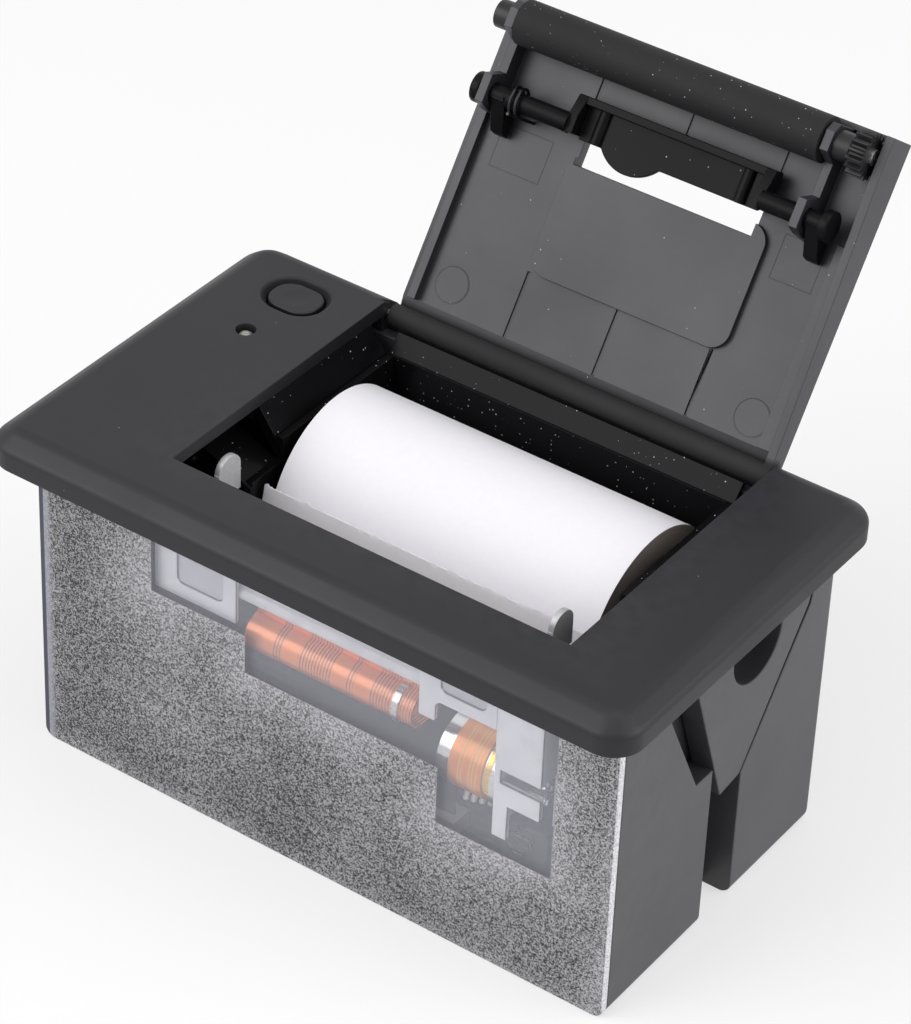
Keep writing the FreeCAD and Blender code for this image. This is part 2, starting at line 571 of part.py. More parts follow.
dish_out = slab(
    DISH_X[0] + DISH_WALL, DISH_X[1] - DISH_WALL, FINGER_Y[1] - 2, DISH_Y1 - DISH_WALL,
    BEZEL_TOP - DISH_DROP, BEZEL_TOP + 1, DISH_ROUND)
ear_low = LEVER_Z - 2.5
bracket_outline = [
    (PLATEN_Y - 2.7, LID_IN), (PLATEN_Y - 2.7, PLATEN_Z - 1.6), (PLATEN_Y - 1.4, PLATEN_Z - 2.8),
    (PLATEN_Y + 1.6, PLATEN_Z - 2.8), (PLATEN_Y + 3.0, LID_IN - 3.2), (LEVER_Y - 3.2, LID_IN - 3.2),
    (LEVER_Y - 2.4, ear_low), (LEVER_Y + 2.0, ear_low), (LEVER_Y + 2.8, LEVER_Z),
    (LEVER_Y + 3.4, LID_IN)]
brackets = [prism_x(bracket_outline, x, x + BRACKET_T) for x in (LEFT_BRACKET, RIGHT_BRACKET)]
lid = fused([skin.cut(foot_bevel), barrel, right_wall, left_wall, front_lip, rib, dish_in] + brackets)
lid = lid.cut(dish_out)
lid = lid.cut(box(FINGER_X[0], FINGER_X[1], FINGER_Y[0], FINGER_Y[1], LID_IN - 1, BEZEL_TOP + 1))
lid = lid.cut(rod(LEFT_BRACKET - 1, LEFT_BRACKET + 3, PLATEN_Y, PLATEN_Z, BUSH_R + SNUG))
lid = lid.cut(rod(RIGHT_BRACKET - 1, RIGHT_BRACKET + 3, PLATEN_Y, PLATEN_Z, BUSH_R + SNUG))
lid = lid.cut(rod(LEFT_BRACKET - 1, LEFT_BRACKET + 3, LEVER_Y, LEVER_Z, LEVER_R + RUN))
lid = lid.cut(rod(RIGHT_BRACKET - 1, RIGHT_BRACKET + 3, LEVER_Y, LEVER_Z, LEVER_R + RUN))
lid = lid.cut(rod(LID_LEFT - 1, pin_left + PIN_L + 0.2, HINGE_Y, HINGE_Z, PIN_R + SNUG))
lid = lid.cut(rod(pin_right - PIN_L - 0.2, LID_RIGHT + 1, HINGE_Y, HINGE_Z, PIN_R + SNUG))
for x in GROOVE_X:
    for y0, y1 in ((DISH_Y1, HINGE_Y - FOOT_BEVEL_W), (PLATEN_Y + 3.0, FINGER_Y[0] - 1.0)):
        lid = lid.cut(box(x - GROOVE_W / 2, x + GROOVE_W / 2, y0, y1, LID_IN - 1, LID_IN + GROOVE_D))
save("lid_shell", opened(lid.removeSplitter()))
pins = [rod(pin_left, pin_left + PIN_L, HINGE_Y, HINGE_Z, PIN_R)]
pins.append(rod(pin_right - PIN_L, pin_right, HINGE_Y, HINGE_Z, PIN_R))
save("hinge_pins", opened(Part.makeCompound(pins)))

# Release lever: two shaft ends joined by the handle, with a foot and a disc at each end
handle_top = LID_IN - HANDLE_GAP
handle_low = handle_top - HANDLE_T
disc_left = LEFT_BRACKET - 0.2 - LEVER_DISC_T
disc_right = RIGHT_BRACKET + BRACKET_T + FOOT_W + 0.4
left_foot = LEFT_BRACKET + BRACKET_T + BRACKET_GAP
right_foot = RIGHT_BRACKET + BRACKET_T + 0.4
arm_left = FINGER_X[0] - ARM_W
arm_right = FINGER_X[1]
arm_outline = [
    (LEVER_Y + 1.4, LEVER_Z - 0.6), (LEVER_Y + 1.4, handle_low), (HANDLE_Y[0], handle_low + 0.9),
    (HANDLE_Y[0], handle_low - 1.6), (LEVER_Y - 1.4, LEVER_Z - 0.6)]
foot_outline = [
    (LEVER_Y - 1.1, LEVER_Z - 1.0), (LEVER_Y + 0.6, LEVER_Z - 1.4), (LEVER_Y + 5.4, LEVER_Z + 2.3),
    (LEVER_Y + 5.8, LID_IN - 0.6), (LEVER_Y + 3.0, LID_IN - 0.8), (LEVER_Y - 1.1, LEVER_Z + 1.6)]
lever_pieces = [
    rod(disc_left, arm_left + 0.5, LEVER_Y, LEVER_Z, LEVER_R),
    rod(arm_right + ARM_W - 0.5, disc_right + 0.5, LEVER_Y, LEVER_Z, LEVER_R),
    rod(disc_left, disc_left + LEVER_DISC_T, LEVER_Y, LEVER_Z, LEVER_DISC_R),
    rod(disc_right, disc_right + LEVER_DISC_T, LEVER_Y, LEVER_Z, LEVER_DISC_R),
    prism_x(foot_outline, left_foot, left_foot + FOOT_W),
    prism_x(foot_outline, right_foot, right_foot + FOOT_W),
    prism_x(arm_outline, arm_left, arm_left + ARM_W),
    prism_x(arm_outline, arm_right, arm_right + ARM_W),
    box(arm_left, arm_right + ARM_W, HANDLE_Y[0], HANDLE_Y[0] + 1.2, handle_low - 1.6, handle_low + 0.9),
    box(FINGER_X[0], FINGER_X[1], HANDLE_Y[0], HANDLE_Y[1], handle_low, handle_low + 0.9),
    box(FINGER_X[0] + 0.9, FINGER_X[1] - 0.9, HANDLE_Y[0] + 0.8, HANDLE_Y[1], handle_low, handle_top),
    box(FINGER_X[0] + 0.9, FINGER_X[1] - 0.9, HANDLE_Y[1] - 1.8, HANDLE_Y[1] - 0.4,
        handle_low, BEZEL_TOP - 0.8)]
thumb_x = FINGER_X[0] + 9.0
thumb = post(thumb_x, HANDLE_Y[1] + THUMB_OUT - THUMB_R, handle_low, handle_low + 0.9, THUMB_R)
lever_pieces.append(thumb.cut(box(
    thumb_x - 9, thumb_x + 9, HANDLE_Y[0] - 9, HANDLE_Y[0] + 0.2, handle_low - 1, handle_low + 2)))
for x in (FINGER_X[0] + 3.0, FINGER_X[1] - 3.0):
    grip_at = Vector(x, HANDLE_Y[0], handle_low)
    grip = Part.makeCylinder(1.0, HANDLE_Y[1] - HANDLE_Y[0], grip_at, Vector(0, 1, 0))
    lever_pieces.append(grip)
save("release_lever", opened(fused(lever_pieces)))


# Return spring of the lever: a coil round its left shaft end, with a leg up to the lid's skin
def coil_point(turn):
    angle = 2 * math.pi * turn
    return Vector(
        coil_x + coil_pitch * turn, LEVER_Y + coil_r * math.cos(angle), LEVER_Z + coil_r * math.sin(angle))


def coil_way(turn):
    angle = 2 * math.pi * turn
    return Vector(
        coil_pitch / (2 * math.pi), -coil_r * math.sin(angle), coil_r * math.cos(angle)).normalize()


def arc_edge(start, corner, end):
    """Arc between two points whose tangents meet at the corner."""
    middle = (start + end) / 2
    half = (end - start).Length / 2
    lean = math.acos(half / (corner - start).Length)
    top = middle + (corner - middle).normalize() * (half * math.tan(lean / 2))
    return Part.Arc(start, top, end).toShape()


def biarc_edges(turn0, turn1):
    """Two arcs that follow the coil between two of its points and share its tangents there."""
    start = coil_point(turn0)
    end = coil_point(turn1)
    way0 = coil_way(turn0)
    way1 = coil_way(turn1)
    span = end - start
    along = span.dot(way0 + way1)
    spread = 2 * (1 - way0.dot(way1))
    reach = (math.sqrt(along * along + spread * span.dot(span)) - along) / spread
    joint = (start + end + (way0 - way1) * reach) / 2
    return [arc_edge(start, start + way0 * reach, joint), arc_edge(joint, end - way1 * reach, end)]


coil_r = LEVER_R + SPRING_GAP + SPRING_WIRE / 2
coil_pitch = SPRING_WIRE + SPRING_TURN_GAP
coil_x = left_foot + FOOT_W + SPRING_GAP + SPRING_WIRE / 2
coil_edges = []
for quarter in range(4 * SPRING_TURNS):
    coil_edges += biarc_edges(quarter / 4, (quarter + 1) / 4)
leg_foot = coil_point(SPRING_TURNS)
leg_way = coil_way(SPRING_TURNS)
leg_tip = leg_foot + leg_way * ((LID_IN - LEVER_Z) / leg_way.z)
coil_edges.append(Part.LineSegment(leg_foot, leg_tip).toShape())
coil_path = Part.Wire(coil_edges)
wire_end = Part.Wire(Part.makeCircle(SPRING_WIRE / 2, coil_point(0), coil_way(0)))
coil = coil_path.makePipeShell([wire_end], True, False)
coil = coil.cut(box(coil_x - 9, coil_x + 19, LEVER_Y, LEVER_Y + 9, LID_IN, LID_IN + 9))
save("lever_spring", opened(coil))
samples = [coil_point(step / 24) for step in range(24 * SPRING_TURNS + 1)]
least = min(
    samples[a].distanceToPoint(samples[b]) for a in range(len(samples)) for b in range(a + 12, len(samples)))
print("lever spring least gap to itself", round(least - SPRING_WIRE, 3))

# Platen
shaft_right = lid_inside - 0.4
save("platen_shaft", opened(rod(BUSH_LEFT - 0.3, shaft_right, PLATEN_Y, PLATEN_Z, SHAFT_R)))
save("platen_rubber", opened(tube(RUBBER_X[0], RUBBER_X[1], PLATEN_Y, PLATEN_Z, PLATEN_R, SHAFT_R)))
save("platen_gear", opened(gear(GEAR_X, PLATEN_Y, PLATEN_Z, PLATEN_TEETH, SHAFT_R, 90.0)))
bushes = [tube(BUSH_LEFT, LEFT_BRACKET + BRACKET_T, PLATEN_Y, PLATEN_Z, BUSH_R, SHAFT_R + RUN)]
bushes.append(tube(RIGHT_BRACKET, BUSH_RIGHT, PLATEN_Y, PLATEN_Z, BUSH_R, SHAFT_R + RUN))
save("platen_bushings", opened(Part.makeCompound(bushes)))

# Gear train: upper idler, lower idler, motor pinion
platen_tip = MODULE * PLATEN_TEETH / 2 + 0.9 * MODULE
upper_tip = MODULE * UPPER_TEETH / 2 + 0.9 * MODULE
upper_y = PLATEN_Y
upper_z = PLATEN_Z - platen_tip - upper_tip - TIP_GAP
reach = MODULE * (UPPER_TEETH + LOWER_TEETH) / 2
lower_y = upper_y + reach * math.sin(math.radians(UPPER_LEAN))
lower_z = upper_z - reach * math.cos(math.radians(UPPER_LEAN))
reach = MODULE * (LOWER_TEETH + PINION_TEETH) / 2
motor_y = lower_y + reach * math.sin(math.radians(LOWER_LEAN))
motor_z = lower_z - reach * math.cos(math.radians(LOWER_LEAN))
pinion_phase = 0.0
lower_phase = meshed_phase(
    pinion_phase, PINION_TEETH, LOWER_TEETH, math.degrees(math.atan2(lower_z - motor_z, lower_y - motor_y)))
upper_phase = meshed_phase(
    lower_phase, LOWER_TEETH, UPPER_TEETH, math.degrees(math.atan2(upper_z - lower_z, upper_y - lower_y)))
plate_in = BRACKET_LEFT + BRACKET_PLATE
hub_x0 = plate_in + 0.4
hub_x1 = BRACKET_RIGHT - 0.4
for name, y, z, teeth, phase in (
        ("upper_idler_gear", upper_y, upper_z, UPPER_TEETH, upper_phase),
        ("lower_idler_gear", lower_y, lower_z, LOWER_TEETH, lower_phase)):
    wheel = gear(GEAR_X, y, z, teeth, POST_R + RUN, phase)
    save(name, fused([wheel, tube(hub_x0, hub_x1, y, z, POST_R + 0.9, POST_R + RUN)]))
gear_posts = [rod(plate_in, BRACKET_RIGHT, y, z, POST_R) for y, z in ((upper_y, upper_z), (lower_y, lower_z))]
save("gear_posts", Part.makeCompound(gear_posts))
save("motor_pinion", gear(GEAR_X, motor_y, motor_z, PINION_TEETH, MOTOR_SHAFT_R, pinion_phase))

# Motor
can_right = BRACKET_LEFT - FLANGE_T
can_left = can_right - MOTOR_LEN
can = rod(can_left, can_right, motor_y, motor_z, MOTOR_R)
can = can.cut(rod(can_left + MOTOR_WALL, can_right + 1, motor_y, motor_z, MOTOR_R - MOTOR_WALL))
save("motor_can", can.cut(rod(can_left - 1, can_right, motor_y, motor_z, MOTOR_SHAFT_R + RUN)))
save("motor_flange", tube(can_right, BRACKET_LEFT, motor_y, motor_z, MOTOR_R + 0.3, MOTOR_SHAFT_R + RUN))
save("motor_shaft", rod(can_left, hub_x1, motor_y, motor_z, MOTOR_SHAFT_R))
save("motor_rotor", tube(can_left + 1.4, can_right - 0.6, motor_y, motor_z, ROTOR_R, MOTOR_SHAFT_R))
wrap_x0 = can_left + 2.2
wrap_x1 = wrap_x0 + WRAP_W
wrap = tube(wrap_x0, wrap_x1, motor_y, motor_z, MOTOR_R + WRAP_T, MOTOR_R)
save("motor_flex_wrap", wrap.cut(box(
    wrap_x0 - 1, wrap_x1 + 1, motor_y, motor_y + 9, motor_z - 9, motor_z + 9)))
solder = []
for turn in (0, 1, 2, 3):
    lean = math.radians(250 + 4 * turn)
    pin_x = wrap_x0 + 1.2 + 1.1 * turn
    out = Vector(0, math.cos(lean), math.sin(lean))
    start = Vector(pin_x, motor_y, motor_z) + out * (MOTOR_R + WRAP_T)
    solder.append(Part.makeCylinder(SOLDER_R, SOLDER_L, start, out).cut(
        rod(wrap_x0, wrap_x1, motor_y, motor_z, MOTOR_R + WRAP_T)))
save("motor_pins", Part.makeCompound(solder))

# Gear bracket: two plates joined by a slotted front plate with a foot
bracket_x1 = BRACKET_RIGHT + BRACKET_PLATE
upper_foot = BRACKET_BASE + 10.6
front_back = FRAME_Y + BRACKET_PLATE
bracket_parts = [
    box(BRACKET_LEFT, plate_in, FRAME_Y, SIDE_BACK, BRACKET_BASE, BRACKET_TOP),
    box(BRACKET_RIGHT, bracket_x1, FRAME_Y, SIDE_BACK, upper_foot, BRACKET_TOP),
    box(BRACKET_RIGHT, bracket_x1, FRAME_Y + BRACKET_SET, SIDE_BACK, BRACKET_BASE, upper_foot + 0.1),
    box(BRACKET_LEFT, bracket_x1, FRAME_Y, front_back, upper_foot, BRACKET_TOP - 2.0),
    box(BRACKET_LEFT, bracket_x1, FRAME_Y, front_back, BRACKET_BASE + 4.6, BRACKET_BASE + 8.2),
    box(BRACKET_LEFT, BRACKET_LEFT + 2.4, FRAME_Y, front_back, BRACKET_BASE - 1.6, BRACKET_BASE + 5.0)]
bracket = fused(bracket_parts)
bracket = bracket.cut(rod(BRACKET_LEFT - 1, plate_in + 1, motor_y, motor_z, MOTOR_SHAFT_R + 0.4))
save("gear_bracket", bracket)

# Mechanism frame: windowed front plate, left side plate and paper guide bar
frame_back = FRAME_Y + FRAME_T
frame_front = box(FRAME_LEFT, BRACKET_LEFT, FRAME_Y, frame_back, FRAME_BASE, FRAME_TOP)
y0 = FRAME_Y - 1
y1 = frame_back + 1
sunk = FRAME_Y + POCKET_D
pocket_top = FRAME_TOP - 2.0
for x0, x1, depth, z0, z1 in (
        (FRAME_LEFT + 4.1, FRAME_LEFT + 12.5, sunk, FRAME_BASE + 2.5, pocket_top),
        (FRAME_LEFT + 14.8, BRACKET_LEFT - 13.2, y1, FRAME_BASE - 9, FRAME_BASE + 8.8),
        (BRACKET_LEFT - 10.4, BRACKET_LEFT + 9, y1, FRAME_BASE - 9, FRAME_BASE + 3.6),
        (BRACKET_LEFT - 9.6, BRACKET_LEFT - 1.8, sunk, FRAME_BASE + 5.7, pocket_top)):
    frame_front = frame_front.cut(window(x0, x1, y0, depth, z0, z1, WINDOW_ROUND))
left_side = box(SIDE_LEFT, SIDE_LEFT + SIDE_T, FRAME_Y, SIDE_BACK, FRAME_BASE, FRAME_TOP)
guide = box(SIDE_LEFT, BRACKET_LEFT, SIDE_BACK - GUIDE_T, SIDE_BACK, FRAME_BASE + 6.6, GUIDE_TOP)
frame = fused([frame_front, left_side, guide])
save("mechanism_frame", frame)

# Steel forks that take the platen bushings when the lid shuts
ear_y0 = PLATEN_Y - slot_r - EAR_PRONG
ear_top = PLATEN_Z + EAR_RISE
ceramic_back = PLATEN_Y - PLATEN_R - HEAD_GAP
sink_back = ceramic_back - CERAMIC_T
sink_front = sink_back - HEAD_T
pivot_y = sink_back - HEAD_T / 2


def prong(x0, y0, y1, z0):
    bar = box(x0, x0 + EAR_T, y0, y1, z0, ear_top)
    tips = [edge for edge in lines_along(bar, Vector(1, 0, 0)) if edge.CenterOfMass.z > ear_top - 0.1]
    return bar.makeFillet((y1 - y0) / 2 - 0.1, tips)


def fork(x0):
    foot = FRAME_BASE + 3
    slot_y = PLATEN_Y + slot_r
    plate = fused([
        box(x0, x0 + EAR_T, ear_y0, SIDE_BACK - GUIDE_T - 0.1, foot, PLATEN_Z),
        prong(x0, ear_y0, PLATEN_Y - slot_r, foot),
        prong(x0, slot_y, ear_y1, GUIDE_TOP + EAR_GAP)])
    plate = plate.cut(rod(x0 - 1, x0 + EAR_T + 1, PLATEN_Y, PLATEN_Z, slot_r))
    return plate.cut(rod(x0 - 1, x0 + EAR_T + 1, pivot_y, HEAD_PIVOT_Z, HEAD_PIN_R + EAR_GAP))


save("fork_left", fork(SIDE_LEFT + SIDE_T))
right_fork = fork(plate_in)
save("fork_right", right_fork.cut(rod(plate_in - 1, plate_in + 3, upper_y, upper_z, POST_R + 1.3)))

# Print head on its pivot pin, with a leaf spring in front
sink = fused([
    box(HEAD_X[0], HEAD_X[1], sink_front, sink_back, HEAD_PIVOT_Z, HEAD_TOP),
    rod(HEAD_X[0], HEAD_X[1], pivot_y, HEAD_PIVOT_Z, HEAD_LUG_R)])
sink = sink.cut(rod(HEAD_X[0] - 1, HEAD_X[1] + 1, pivot_y, HEAD_PIVOT_Z, HEAD_PIN_R + RUN))
save("head_heat_sink", sink)
save("head_heater_strip", box(
    HEAD_X[0] + 1, HEAD_X[1] - 1, sink_back, ceramic_back, HEAD_PIVOT_Z + 3.5, HEAD_TOP - 0.5))
save("head_leaf_spring", box(
    LEAF_X[0], LEAF_X[1], sink_front - 0.2, sink_front, FRAME_BASE + 8, FRAME_TOP - 1))
save("head_pin", rod(SIDE_LEFT + SIDE_T, BRACKET_LEFT, pivot_y, HEAD_PIVOT_Z, HEAD_PIN_R))

# Flex cable: half roll below the head, then a tail down to the control board
flex_in = FLEX_R - FLEX_T
roll_top = box(FLEX_X[0], FLEX_X[1], FLEX_Y, FLEX_Y + 9, FLEX_Z, FLEX_Z + 9)
flex = tube(FLEX_X[0], FLEX_X[1], FLEX_Y, FLEX_Z, FLEX_R, flex_in).cut(roll_top)
flex_low = FLEX_Z - FLEX_R
flex = flex.cut(box(FLEX_X[0], FLEX_X[1], FLEX_Y, FLEX_Y + 9, flex_low - 1, FLEX_Z + 1))
lead_top = HEAD_PIVOT_Z - HEAD_LUG_R - 0.4
socket_top = BOARD_TOP + 3.0
flex = fused([
    flex,
    box(FLEX_X[0], FLEX_X[1], FLEX_Y - 0.01, FLEX_Y + FLEX_T, FLEX_Z + flex_in, lead_top),
    box(FLEX_X[0], FLEX_X[1], FLEX_Y - 0.01, FLEX_TAIL_Y, flex_low, flex_low + FLEX_T),
    box(FLEX_X[0], FLEX_X[1], FLEX_TAIL_Y - FLEX_T, FLEX_TAIL_Y, socket_top, flex_low + FLEX_T)])
save("head_flex_cable", flex)
ring = tube(RING_X, RING_X + RING_W, FLEX_Y, FLEX_Z, FLEX_R + 0.3, FLEX_R)
save("flex_clamp", ring.cut(box(RING_X - 1, RING_X + 9, FLEX_Y - FIT, FLEX_Y + 9, FLEX_Z - 9, FLEX_Z + 9)))
save("flex_socket", box(
    FLEX_X[0] - 1, FLEX_X[1] + 1, BOARD_Y[0] + 0.5, BOARD_Y[0] + 4.5, BOARD_TOP, socket_top))

# Paper sensor on the guide bar and lid switch on the side plate
guide_front = SIDE_BACK - GUIDE_T
save("paper_sensor", box(0.0, 5.0, guide_front - 1.6, guide_front, FRAME_BASE + 7, FRAME_TOP - 2.4))
save("lid_switch", box(
    SIDE_LEFT - 2.4, SIDE_LEFT, PLATEN_Y - 3, PLATEN_Y + 3, FRAME_BASE + 4, FRAME_BASE + 10))

# Feed button, switch, lamp and their board
cap_top = BEZEL_TOP - BUTTON_SINK
cap_flange = DECK_Z - 0.3
switch_top = KEY_TOP + 4.5
cap = fused([
    slab(button_x0, button_x1, button_y0, button_y1, cap_flange - 1.0, cap_top, BUTTON_ROUND),
    slab(button_x0 - CAP_FLANGE, button_x1 + CAP_FLANGE, button_y0 - CAP_FLANGE, button_y1 + CAP_FLANGE,
         cap_flange - 1.0, cap_flange, BUTTON_ROUND + CAP_FLANGE),
    post(BUTTON[0], BUTTON[1], switch_top + BUTTON_TRAVEL + 0.1, cap_flange - 0.5, 1.5)])
dimple_r = 22.0
dimple = Part.makeSphere(dimple_r, Vector(BUTTON[0], BUTTON[1], cap_top + dimple_r - 0.15))
save("feed_button", cap.cut(dimple))
key_board = box(KEY_BOARD_X[0], KEY_BOARD_X[1], KEY_BOARD_Y[0], KEY_BOARD_Y[1], KEY_BOARD_Z, KEY_TOP)
for x, y in KEY_SCREW_AT:
    key_board = key_board.cut(post(x, y, KEY_BOARD_Z - 1, KEY_TOP + 1, SCREW_R + 0.1))
save("button_board", key_board)
save("button_switch", fused([
    box(BUTTON[0] - 3, BUTTON[0] + 3, BUTTON[1] - 3, BUTTON[1] + 3, KEY_TOP, KEY_TOP + 3.5),
    post(BUTTON[0], BUTTON[1], KEY_TOP + 3, switch_top, 1.6)]))
lamp_dome = BEZEL_TOP - 0.5
lamp = fused([
    post(LAMP[0], LAMP[1], KEY_TOP, lamp_dome - LAMP_R, LAMP_R),
    Part.makeSphere(LAMP_R, Vector(LAMP[0], LAMP[1], lamp_dome - LAMP_R)),
    post(LAMP[0], LAMP[1], KEY_TOP, KEY_TOP + 1, LAMP_R + 0.5)])
save("status_lamp", lamp)

# Control board and its sockets, which open through the back wall
board = box(BOARD_X[0], BOARD_X[1], BOARD_Y[0], BOARD_Y[1], BOARD_Z, BOARD_TOP)
for x, y in standoff_at:
    board = board.cut(post(x, y, BOARD_Z - 1, BOARD_TOP + 1, SCREW_R + 0.1))
save("control_board", board)
socket_front = BOARD_Y[1] - 5.0
for name, (x0, x1), shares, half in (
        ("power_socket", POWER_X, (1 / 3, 2 / 3), 0.4),
        ("data_socket", DATA_X, (1 / 6, 1 / 3, 1 / 2, 2 / 3, 5 / 6), 0.4),
        ("usb_socket", USB_X, (1 / 2,), 2.4)):
    shell = box(x0, x1, socket_front, BY, BOARD_TOP, BOARD_TOP + SOCKET_H)
    shell = shell.cut(box(
        x0 + SOCKET_WALL, x1 - SOCKET_WALL, BY - SOCKET_DEEP, BY + 1,
        BOARD_TOP + SOCKET_WALL, BOARD_TOP + SOCKET_H - SOCKET_WALL))
    middle = BOARD_TOP + SOCKET_H / 2
    pins = []
    for share in shares:
        pin_x = x0 + (x1 - x0) * share
        pins.append(box(
            pin_x - half, pin_x + half, BY - SOCKET_DEEP - 0.5, BY - 1.0, middle - 0.4, middle + 0.4))
    save(name, fused([shell] + pins))


# Screws
def screw(x, y, head_z, tip_z):
    """Screw driven upwards if its tip is above its head, otherwise downwards."""
    up = 1 if tip_z > head_z else -1
    head_end = head_z - up * SCREW_HEAD_H
    head = post(x, y, min(head_z, head_end), max(head_z, head_end), SCREW_HEAD_R)
    return head.fuse(post(x, y, min(head_z, tip_z), max(head_z, tip_z), SCREW_R)).removeSplitter()


ledge_z = SEAT_Z - LEDGE_T
long_screws = [screw(x, y, ledge_z, SEAT_Z + BEZEL_SCREW_BITE - 0.4) for x, y in BEZEL_SCREW_AT]
save("bezel_screws", Part.makeCompound(long_screws))
short_screws = [screw(x, y, BOARD_TOP, BOARD_TOP - 3.8) for x, y in standoff_at]
short_screws += [screw(x, y, KEY_BOARD_Z, KEY_BOARD_Z + 3.8) for x, y in KEY_SCREW_AT]
save("board_screws", Part.makeCompound(short_screws))
bolt = Part.makeCylinder(SCREW_R, 3.0, bolt_at + forward * -3.0, forward)
save("leg_screw", bolt.fuse(Part.makeCylinder(SCREW_HEAD_R, SCREW_HEAD_H, bolt_at, forward)).removeSplitter())

print("platen axis shut", PLATEN_Y, round(PLATEN_Z, 3))
print("hinge axis", HINGE_Y, round(HINGE_Z, 3))
print("lever axis shut", LEVER_Y, round(LEVER_Z, 3))
print("upper idler", round(upper_y, 3), round(upper_z, 3))
print("lower idler", round(lower_y, 3), round(lower_z, 3))
print("motor", round(motor_y, 3), round(motor_z, 3))
print("head pivot", round(pivot_y, 3), HEAD_PIVOT_Z)
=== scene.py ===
import bpy
import json
import math
import random
from mathutils import Matrix, Vector


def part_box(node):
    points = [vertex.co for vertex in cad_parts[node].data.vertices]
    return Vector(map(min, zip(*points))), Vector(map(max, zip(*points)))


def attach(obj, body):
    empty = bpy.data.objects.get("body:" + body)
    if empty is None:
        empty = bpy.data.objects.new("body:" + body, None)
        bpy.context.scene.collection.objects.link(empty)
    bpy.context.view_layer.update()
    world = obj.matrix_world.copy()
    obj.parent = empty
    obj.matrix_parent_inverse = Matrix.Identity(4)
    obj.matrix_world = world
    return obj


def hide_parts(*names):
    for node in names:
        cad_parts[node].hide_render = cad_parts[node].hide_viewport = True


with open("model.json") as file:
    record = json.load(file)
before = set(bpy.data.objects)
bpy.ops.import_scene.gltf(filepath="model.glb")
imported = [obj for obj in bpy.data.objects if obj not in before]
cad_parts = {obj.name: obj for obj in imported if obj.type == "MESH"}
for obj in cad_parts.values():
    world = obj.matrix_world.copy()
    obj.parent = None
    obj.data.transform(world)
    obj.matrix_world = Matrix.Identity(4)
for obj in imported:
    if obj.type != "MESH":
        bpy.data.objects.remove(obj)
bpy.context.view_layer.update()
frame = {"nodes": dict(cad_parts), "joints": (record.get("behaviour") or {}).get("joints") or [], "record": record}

# A panel-mount receipt printer with its lid standing open. Metres, +X right, +Y back, +Z up.

# A millimetre, and a length beyond the whole part
MM = 0.001
FAR = 200.0 * MM

# The lid's hinge, and the lid's turn from open, as it rests, to shut
hinge_joint = next(joint for joint in frame["joints"] if joint["name"] == "lid_hinge")
HINGE = Vector(hinge_joint["pos_m"])
LID_SWING = math.radians(min(hinge_joint["range_deg"]))

# Levels read from the construction
bezel_low, bezel_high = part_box("bezel")
cover_low, cover_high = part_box("front_cover")
roll_low, roll_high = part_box("paper_roll")
core_low, core_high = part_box("roll_core")
leader_low, leader_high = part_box("paper_leader")
key_low, key_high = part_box("feed_button")
can_low, can_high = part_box("motor_can")
flex_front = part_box("head_flex_cable")[0].y
frame_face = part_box("mechanism_frame")[0].y
BEZEL_TOP = bezel_high.z
LID_SKIN = 2.1 * MM
LID_INNER = BEZEL_TOP - LID_SKIN

# Camera, as the photograph was taken
CAMERA_AT = Vector((0.269258, -0.391550, 0.404504))
CAMERA_RIGHT = Vector((0.81205, 0.58251, 0.03534))
CAMERA_FORWARD = Vector((-0.44957, 0.66304, -0.59855))
CAMERA_LENS = 145.1
CAMERA_SENSOR = 36.0
CAMERA_SHIFT_X = -0.0022

# Share of the floor's own white where it is looked at, and strength of the sky as a light
FLOOR_LIFT = 0.6
SKY_LIGHT = 0.35

# Modelling: points this near are one, heights this near are level, and a face looks along an axis
# if at least this share of its normal does
MERGE_GAP = 0.002 * MM
LEVEL_GAP = 0.02 * MM
FACING = 0.9

# Bezel: fall of its sloped rim, how far in the rim reaches, its rounds, and where the hinge cuts it
RIM_FALL = 2.2 * MM
RIM_SIDES = 6.5 * MM
RIM_FRONT = 6.0 * MM
RIM_BACK = 3.5 * MM
ROUND_TOP = 1.0 * MM
ROUND_RIM = 0.7 * MM
ROUND_OTHER = 0.15 * MM
HINGE_CUT_DEPTH = 1.5 * MM
HINGE_CUT_SPAN = (-37.0 * MM, 45.0 * MM)

# Half sizes of the sloped ring round the button, and depths between which its painted shade grows
BUTTON_RING = (5.7 * MM, 4.8 * MM)
RING_SHADE = (-0.04 * MM, -0.4 * MM)

# Lid: radii between which painted shade darkens and dulls it along the hinge, and the marks that its mould left
HINGE_SHADE_AND_DULL = (2.9 * MM, 2.0 * MM)
EJECTOR_RADIUS = 2.9 * MM
GROOVE_WIDTH = 0.14 * MM
GROOVE_DEPTH = 0.06 * MM
PARTING_WIDTH = 0.16 * MM
MARK_ROUND = 0.02 * MM

# Sunk panels of the cast frame, as depths behind its face: where their painted shade begins, where their
# walls meet the floor, and where the painted shade ends
PANEL_EDGE = (0.08 * MM, 0.14 * MM)
PANEL_FLOOR = (0.43 * MM, 0.37 * MM)
PANEL_END = (0.7 * MM, 0.55 * MM)

# Clear window in the frosted front, as boxes of (left, right, lowest) in millimetres on its plane
WINDOW_STEPS = ((-30.0, 41.0, 37.7), (-12.9, 41.0, 31.0), (21.2, 41.0, 21.0))
WINDOW_TOP = 70.0

# Frost: reach of the pale halo round the window in millimetres and of the pale rim, places of the
# strips at the left end, the dark one painted shade of the plate's edge, and of the painted highlight
# on the right edge, and the depth of the finish
HALO_REACH = 13.0
RIM_REACH = 4.5 * MM
PALE_STRIP = (2.4 * MM, 1.4 * MM)
EDGE_SHADE_STRIP = (0.95 * MM, 0.8 * MM)
EDGE_HIGHLIGHT = (-0.25 * MM, -0.15 * MM)
FROST_DEPTH = (0.35 * MM, 0.45 * MM)
